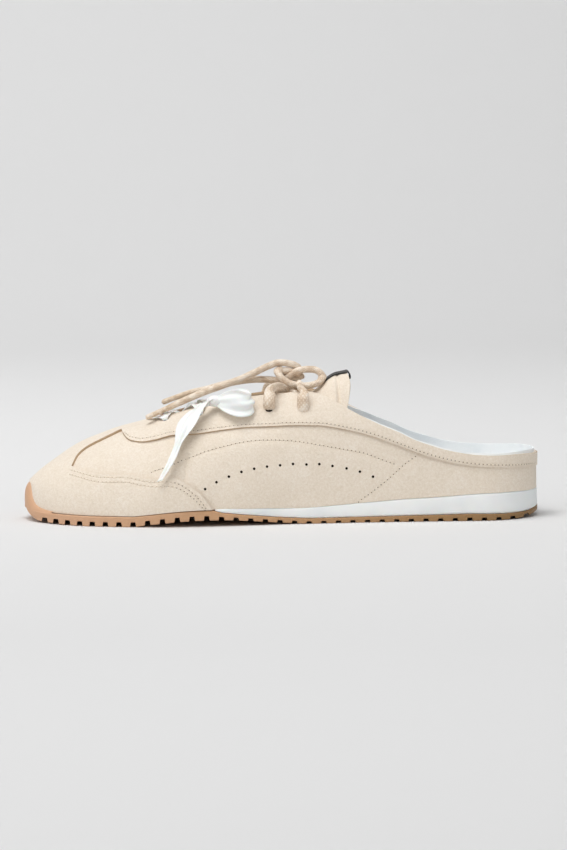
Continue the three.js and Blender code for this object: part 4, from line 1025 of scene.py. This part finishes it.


# Holes and stitches: small dark discs just above the suede, painted shade that stands for the punched eyelets,
# the vent holes and the needle holes, and short flat threads between those. The toe cap's front holes get a
# paler painted shade.
DISC_PROUD = 0.05
HOLE_SHADE_HEX = {"eyelet": "3b322a", "vent": "2a231c", "needle": "857260", "pale": "c4b198"}
VENT_RADIUS, NEEDLE_RADIUS, VENT_STEP = 0.70, 0.30, 0.6
VENTS = [(92.5, 19.4), (98.4, 22.8), (104.9, 25.5), (111.4, 27.7), (118.0, 29.1), (124.7, 30.0),
         (131.5, 30.5), (138.2, 31.0), (145.2, 30.6), (151.9, 30.7), (158.7, 29.6), (166.0, 28.2),
         (172.9, 26.4), (179.7, 23.7)]
THREAD_HEX = "e9ddcb"
THREAD_RADIUS, THREAD_PROUD, STITCH_PITCH, STITCH_SHARE = 0.26, 0.08, 2.1, 0.62
CAP_DARK_FROM = 76.0


def discs(centres, normals, radius, around=14):
    """Flat round grid on each centre: two crossed directions in its plane, ringed from the middle outwards."""
    turn = np.linspace(0, 2 * math.pi, around + 1)[None, :, None]
    patches = []
    for centre, normal in zip(centres, normals):
        one = unit(np.cross(normal, (0.3, 0.2, 1.0)))
        two = np.cross(normal, one)
        rings = np.array([0.0, 0.6, 1.0])[:, None, None] * radius
        patches.append(centre + normal * DISC_PROUD + rings * (one * np.cos(turn) + two * np.sin(turn)))
    return patches


def seats(rows, side, grow, relief, spacing):
    """Places on the finished suede for a row of stitches or holes, with the normals there."""
    x, angle, out = on_side(rows, side, grow)
    line = last(x, side, angle, out)
    run = np.concatenate([[0], np.cumsum(np.linalg.norm(np.diff(line, axis=0), axis=1))])
    even = np.arange(spacing / 2, run[-1], spacing)
    x, angle, out = (np.interp(even, run, value) for value in (x, angle, out))
    flat, normal = last(x, side, angle, out), outward(x, side, angle, out)
    return flat + normal * relief(flat, side)[:, None], normal


dark_needle, pale_needle, vents, eyelets, thread = [], [], [], [], []
SEAMS = [
    {"rows": BAND_STITCH, "grow": band_face, "relief": band_relief, "pale_to": 0},
    {"rows": ARCH_STITCH, "grow": no_growth, "relief": upper_relief, "pale_to": 0},
    {"rows": BACK_STITCH, "grow": no_growth, "relief": upper_relief, "pale_to": 0},
    {"rows": CAP_STITCH, "grow": cap_face, "relief": cap_relief, "pale_to": CAP_DARK_FROM},
    {"rows": LOWER_CAP_STITCH, "grow": cap_face, "relief": cap_relief, "pale_to": CAP_DARK_FROM},
]
for side in (-1, 1):
    for seam in SEAMS:
        places, normals = seats(seam["rows"], side, seam["grow"], seam["relief"], STITCH_PITCH)
        pale = places[:, 0] < TOE + seam["pale_to"]
        pale_needle += discs(places[pale], normals[pale], NEEDLE_RADIUS, 8)
        dark_needle += discs(places[~pale], normals[~pale], NEEDLE_RADIUS, 8)
        for here, there, normal in zip(places[:-1], places[1:], normals[:-1]):
            u = np.linspace(0, 1, 7)
            centre = (here + there) / 2 + (there - here) * ((u - 0.5) * STITCH_SHARE)[:, None]
            round_off = np.sqrt(np.clip(1 - (2 * u - 1) ** 4, 0, 1))[:, None, None] * THREAD_RADIUS
            across = np.cross(unit(there - here), normal)
            turn = np.linspace(0, 2 * math.pi, 9)[None, :, None]
            ring = across * np.cos(turn) + normal * np.sin(turn)
            thread.append(centre[:, None] + normal * THREAD_PROUD + ring * round_off)
    for s, z in VENTS:
        row = [(s - VENT_STEP, z), (s, z), (s + VENT_STEP, z)]
        places, normals = seats(row, side, no_growth, upper_relief, 2 * VENT_STEP)
        vents += discs(places[:1], normals[:1], VENT_RADIUS)
    for row in range(len(EYELET_ROWS)):
        place, _, normal = eyelet_seat(row, side)
        eyelets += discs([place + normal * band_relief(place[None], side)], [normal], EYELET_RADIUS, 24)

for name, patches, colour in [
    ("needle_holes", dark_needle, "needle"), ("cap_needle_holes", pale_needle, "pale"),
    ("vent_holes", vents, "vent"), ("punched_eyelets", eyelets, "eyelet"),
]:
    dark, _, _ = finish_named("shadow_in_" + name, {
        "Base Color": linear(HOLE_SHADE_HEX[colour]), "Roughness": 1.0, "Specular IOR Level": 0.0})
    holes = skin(name, patches, dark)
    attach(holes, "root")
stitch_thread, _, _ = finish_named("polyester_thread", {
    "Base Color": linear(THREAD_HEX), "Roughness": 0.6, "Sheen Weight": 0.2})
stitches = skin("stitches", thread, stitch_thread)
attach(stitches, "root")


# Insole: white foam sock, covered with the lining's textile, lying inside the upper. It is turned up at its
# rim, and clears the wall of the upper by 0.6 mm.
INSOLE_THICK, INSOLE_RIM, INSOLE_CLEAR = 3.2, 1.6, 0.6
x = stations(TOE + TOE_BUMPER + WALL + 0.8, HEEL - HEEL_SET_BACK - WALL - INSOLE_CLEAR, 200)
half, centre = outline(x, inset_at(share(x)) + WALL + INSOLE_CLEAR, TOE_BUMPER + WALL + INSOLE_CLEAR,
                       HEEL_SET_BACK + WALL + 0.5)
v = np.linspace(-1, 1, 41)
base = feather(x)[:, None] + GAP
top = np.stack(np.broadcast_arrays(x[:, None], centre[:, None] + half[:, None] * v,
                                   base + INSOLE_THICK + (INSOLE_RIM - INSOLE_CLEAR) * v ** 6), -1)
bottom = np.stack(np.broadcast_arrays(x[:, None], centre[:, None] + half[:, None] * v[::-1], base + 0.05), -1)
insole = skin("foam_sock", [np.concatenate([top, bottom, top[:, :1]], 1)], lining_textile)
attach(insole, "root")
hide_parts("insole")


# Sole side: rings across the shoe, one at each station, closed into a slab. Its side wall has rounded edges.
EDGE_SHARE, SLAB_TIP, INNER_FROM = 0.3, 6, 0.97


def slab(x, low, high, inset, toe_in, heel_in, rounding, belly):
    """Rings across the shoe at each station: flat below and above, and on each side a wall whose edges are
    round by a share of the height and whose middle swells by the belly."""
    half, centre = outline(x, inset, toe_in, heel_in)
    tall = np.maximum(high - low, 0)
    soft = np.minimum(rounding, EDGE_SHARE * tall)[:, None]
    rise = np.linspace(0, 1, 15)
    height = low[:, None] + tall[:, None] * rise
    from_edge = np.minimum(rise, 1 - rise)[None, :] * tall[:, None]
    pull = soft * (1 - np.sqrt(1 - np.clip(1 - from_edge / np.maximum(soft, 1e-6), 0, 1) ** 2))
    fade = np.clip(half / SLAB_TIP, 0, 1)[:, None]
    width = np.maximum(half[:, None] - pull * fade + belly * np.sin(math.pi * rise) * fade, 0)
    inner = np.linspace(INNER_FROM, 0, 14)
    middle = centre[:, None]
    rows = []
    for side in (-1, 1):
        lower = np.stack([middle + side * (width[:, :1] * inner[::-1]), 0 * inner + low[:, None]], -1)
        walls = np.stack([middle + side * width, height], -1)
        upper = np.stack([middle + side * (width[:, -1:] * inner), 0 * inner + high[:, None]], -1)
        half_ring = np.concatenate([lower, walls, upper], 1)
        rows.append(half_ring if side > 0 else half_ring[:, ::-1])
    ring = np.concatenate(rows, 1)
    return np.concatenate([np.broadcast_to(x[:, None, None], ring.shape[:2] + (1,)), ring], -1)


# Midsole: a wedge of moulded white EVA foam, full height under the heel and nothing at the ball. It is glued
# between the gum and the upper, so it starts just above the one and ends just inside the other.
WEDGE_FRONT, SOLE_EDGE, WEDGE_LAP, WEDGE_SEAT = 0.364, 0.6, 0.25, 0.1
FOAM_HEX = {"shade": "e6eaeb", "light": "f3f5f4"}


def moulded_foam(name):
    """Moulded EVA foam: matt white skin with pores about 0.5 mm, drawn 0.8 mm wide, and faint broad clouds."""
    material, tree, shader = finish_named(
        name, {"Roughness": 0.55, "Subsurface Weight": 0.1, "Subsurface Scale": 0.002})
    place = add(tree, "ShaderNodeTexCoord").outputs["Object"]
    pores = add(tree, "ShaderNodeTexNoise", {"Vector": place, "Scale": 1300.0, "Detail": 2.0}).outputs["Fac"]
    cloud = add(tree, "ShaderNodeTexNoise", {"Vector": place, "Scale": 45.0, "Detail": 2.0}).outputs["Fac"]
    add(tree, "ShaderNodeValToRGB", {"Fac": cloud}, to=shader.inputs["Base Color"],
        stops=[(0.3, FOAM_HEX["shade"]), (0.6, FOAM_HEX["light"])])
    add(tree, "ShaderNodeBump", {"Height": pores, "Strength": 0.2, "Distance": 0.0001},
        to=shader.inputs["Normal"])
    return material


x = stations(TOE + WEDGE_FRONT * LENGTH, HEEL - WEDGE_LAP, 260)
low = gum_top(x) + WEDGE_SEAT
high = np.where(np.arange(len(x)) == 0, low, np.maximum(feather(x) + WEDGE_LAP, low))
wedge = slab(x, low, high, SOLE_EDGE, TOE_BUMPER, heel_in=0.2, rounding=0.5, belly=0.25)
midsole = skin("foam_wedge", [wedge], moulded_foam("moulded_eva_foam"))
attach(midsole, "root")
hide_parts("midsole")


# Outsole: pressed gum rubber with cross ribs, cut by square notches, and rolled up over the toe as a bumper.
# Notches stand a little closer at the toe. The lip's table is its upper edge, by distance from the middle.
TOE_ROLL, GUM_ENDS, GUM_ROUND = 8.0, 0.02, 0.45
NOTCH_WIDTH, NOTCH_SHARE, NOTCH_PITCH, TOE_PITCH, PITCH_GROWTH = 2.7, 0.46, 7.6, 5.7, 0.25
FIRST_NOTCH, NOTCH_WALL = 10.2, 0.35
LIP_TOP = {0: 20.4, 3: 19.6, 6: 17.2, 8: 14.6, 10: 12.0, 13: 9.6, 17: 8.0, 22: 7.0, 28: 6.2}
LIP_HALF, LIP_FOOT, LIP_COVER, LIP_FALL, LIP_BEND = 27.0, 2.6, 0.06, 3.0, 0.7
LIP_REACH, LIP_LEAST, LIP_TUCK_IN, LIP_TUCK_DOWN = 40, 0.1, 1.0, 0.2
GUM_TONE_AND_SHADE_HEX = {"heel": "84663f", "low": "a88259", "body": "c59b74", "toe": "d0a685"}


def gum_rubber(name):
    """Pressed gum rubber: warm tan, half matt, paler on the toe and darker towards the heel, partly the rubber's
    own tone and partly painted light and shade, with moulding specks drawn 1.2 mm wide.
    """
    material, tree, shader = finish_named(name, {"Roughness": 0.5, "Specular IOR Level": 0.35})
    place = add(tree, "ShaderNodeTexCoord").outputs["Object"]
    along = add(tree, "ShaderNodeSeparateXYZ", {0: place}).outputs[0]
    specks = add(tree, "ShaderNodeTexNoise", {"Vector": place, "Scale": 800.0, "Detail": 3.0}).outputs["Fac"]
    # Darkening from the toe to the heel: partly the rubber's own tone, partly painted shade at the heel and
    # painted light on the toe.
    part = add(tree, "ShaderNodeMapRange",
               {"Value": along, "From Min": HEEL / 1000, "From Max": TOE / 1000}).outputs[0]
    mixed = add(tree, "ShaderNodeMath", {0: specks, 1: 0.16, 2: part}, operation="MULTIPLY_ADD").outputs[0]
    add(tree, "ShaderNodeValToRGB", {"Fac": mixed}, to=shader.inputs["Base Color"],
        stops=[(0.05, GUM_TONE_AND_SHADE_HEX["heel"]), (0.35, GUM_TONE_AND_SHADE_HEX["low"]), (0.65, GUM_TONE_AND_SHADE_HEX["body"]), (1, GUM_TONE_AND_SHADE_HEX["toe"])])
    add(tree, "ShaderNodeBump", {"Height": specks, "Strength": 0.2, "Distance": 0.00012},
        to=shader.inputs["Normal"])
    return material


def rolled_tread(x):
    """Underside of the gum, turned up at the toe tip by a quarter circle."""
    return tread(x) + TOE_ROLL * (1 - np.sqrt(1 - np.clip(1 - (x - TOE) / TOE_ROLL, 0, 1) ** 2))


pitches = np.minimum(TOE_PITCH + PITCH_GROWTH * np.arange(60), NOTCH_PITCH)
notches = TOE + FIRST_NOTCH + np.concatenate([[0], np.cumsum(pitches)])
notches = notches[notches < HEEL - NOTCH_PITCH]
corners = np.concatenate([notches + side * NOTCH_WIDTH / 2 + edge * NOTCH_WALL / 2
                          for side in (-1, 1) for edge in (-1, 1)])
x = np.unique(np.concatenate([stations(TOE + GUM_ENDS, HEEL - GUM_ENDS, 300), corners]))
inside_notch = np.abs(x[:, None] - notches).min(1)
cut = np.clip((NOTCH_WIDTH / 2 + NOTCH_WALL / 2 - inside_notch) / NOTCH_WALL, 0, 1)
low = rolled_tread(x) + cut * NOTCH_SHARE * (gum_top(x) - tread(x))
gum = slab(x, low, gum_top(x), inset=0.0, toe_in=0.0, heel_in=0.0, rounding=GUM_ROUND, belly=0.0)


def toe_lip():
    """The rolled-up front of the outsole. Its back lies on the toe cap, found by turning the last's sections
    into x for each y and height. Its thickness falls from the gum's own lead to nothing at the curved upper
    edge, as (1 - u ** LIP_FALL) ** LIP_BEND of the height share u, and a last row tucks in behind the edge."""
    run = TOE + TOE_BUMPER + LIP_REACH * np.linspace(0, 1, 160) ** 2
    angle = np.linspace(0, math.pi / 2, 90)
    edge_run = TOE + LIP_REACH * np.linspace(0, 1, 400) ** 2
    half, centre = outline(edge_run, 0.0, 0.0, 0.0)
    columns = centre[0] + LIP_HALF * np.linspace(-1, 1, 61)
    rows = []
    for y in columns:
        side = -1 if y < centre[0] else 1
        toe = last(run[:, None], side, angle[None, :], cap_face(run)[:, None])
        wall_x = np.interp(side * y, side * (centre + side * half), edge_run)
        top = np.interp(abs(y - centre[0]), list(LIP_TOP), list(LIP_TOP.values()))
        foot = np.maximum(gum_top(wall_x) - LIP_FOOT, rolled_tread(wall_x))
        column = []
        for u in np.linspace(0, 1, 25):
            z = foot + (max(top, foot + LIP_LEAST) - foot) * u
            across = np.array([np.interp(z, section[:, 2], side * section[:, 1]) for section in toe])
            toe_x = np.interp(max(side * y, across[0] + 0.2), across, run)
            if u == 0:
                lead = toe_x - wall_x + LIP_COVER
            column.append((toe_x - lead * (1 - u ** LIP_FALL) ** LIP_BEND, y, z))
        column.append((toe_x + LIP_TUCK_IN, y, z - LIP_TUCK_DOWN))
        rows.append(column)
    return np.array(rows)


outsole = skin("gum_outsole", [gum, toe_lip()], gum_rubber("pressed_gum_rubber"))
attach(outsole, "root")
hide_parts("outsole")
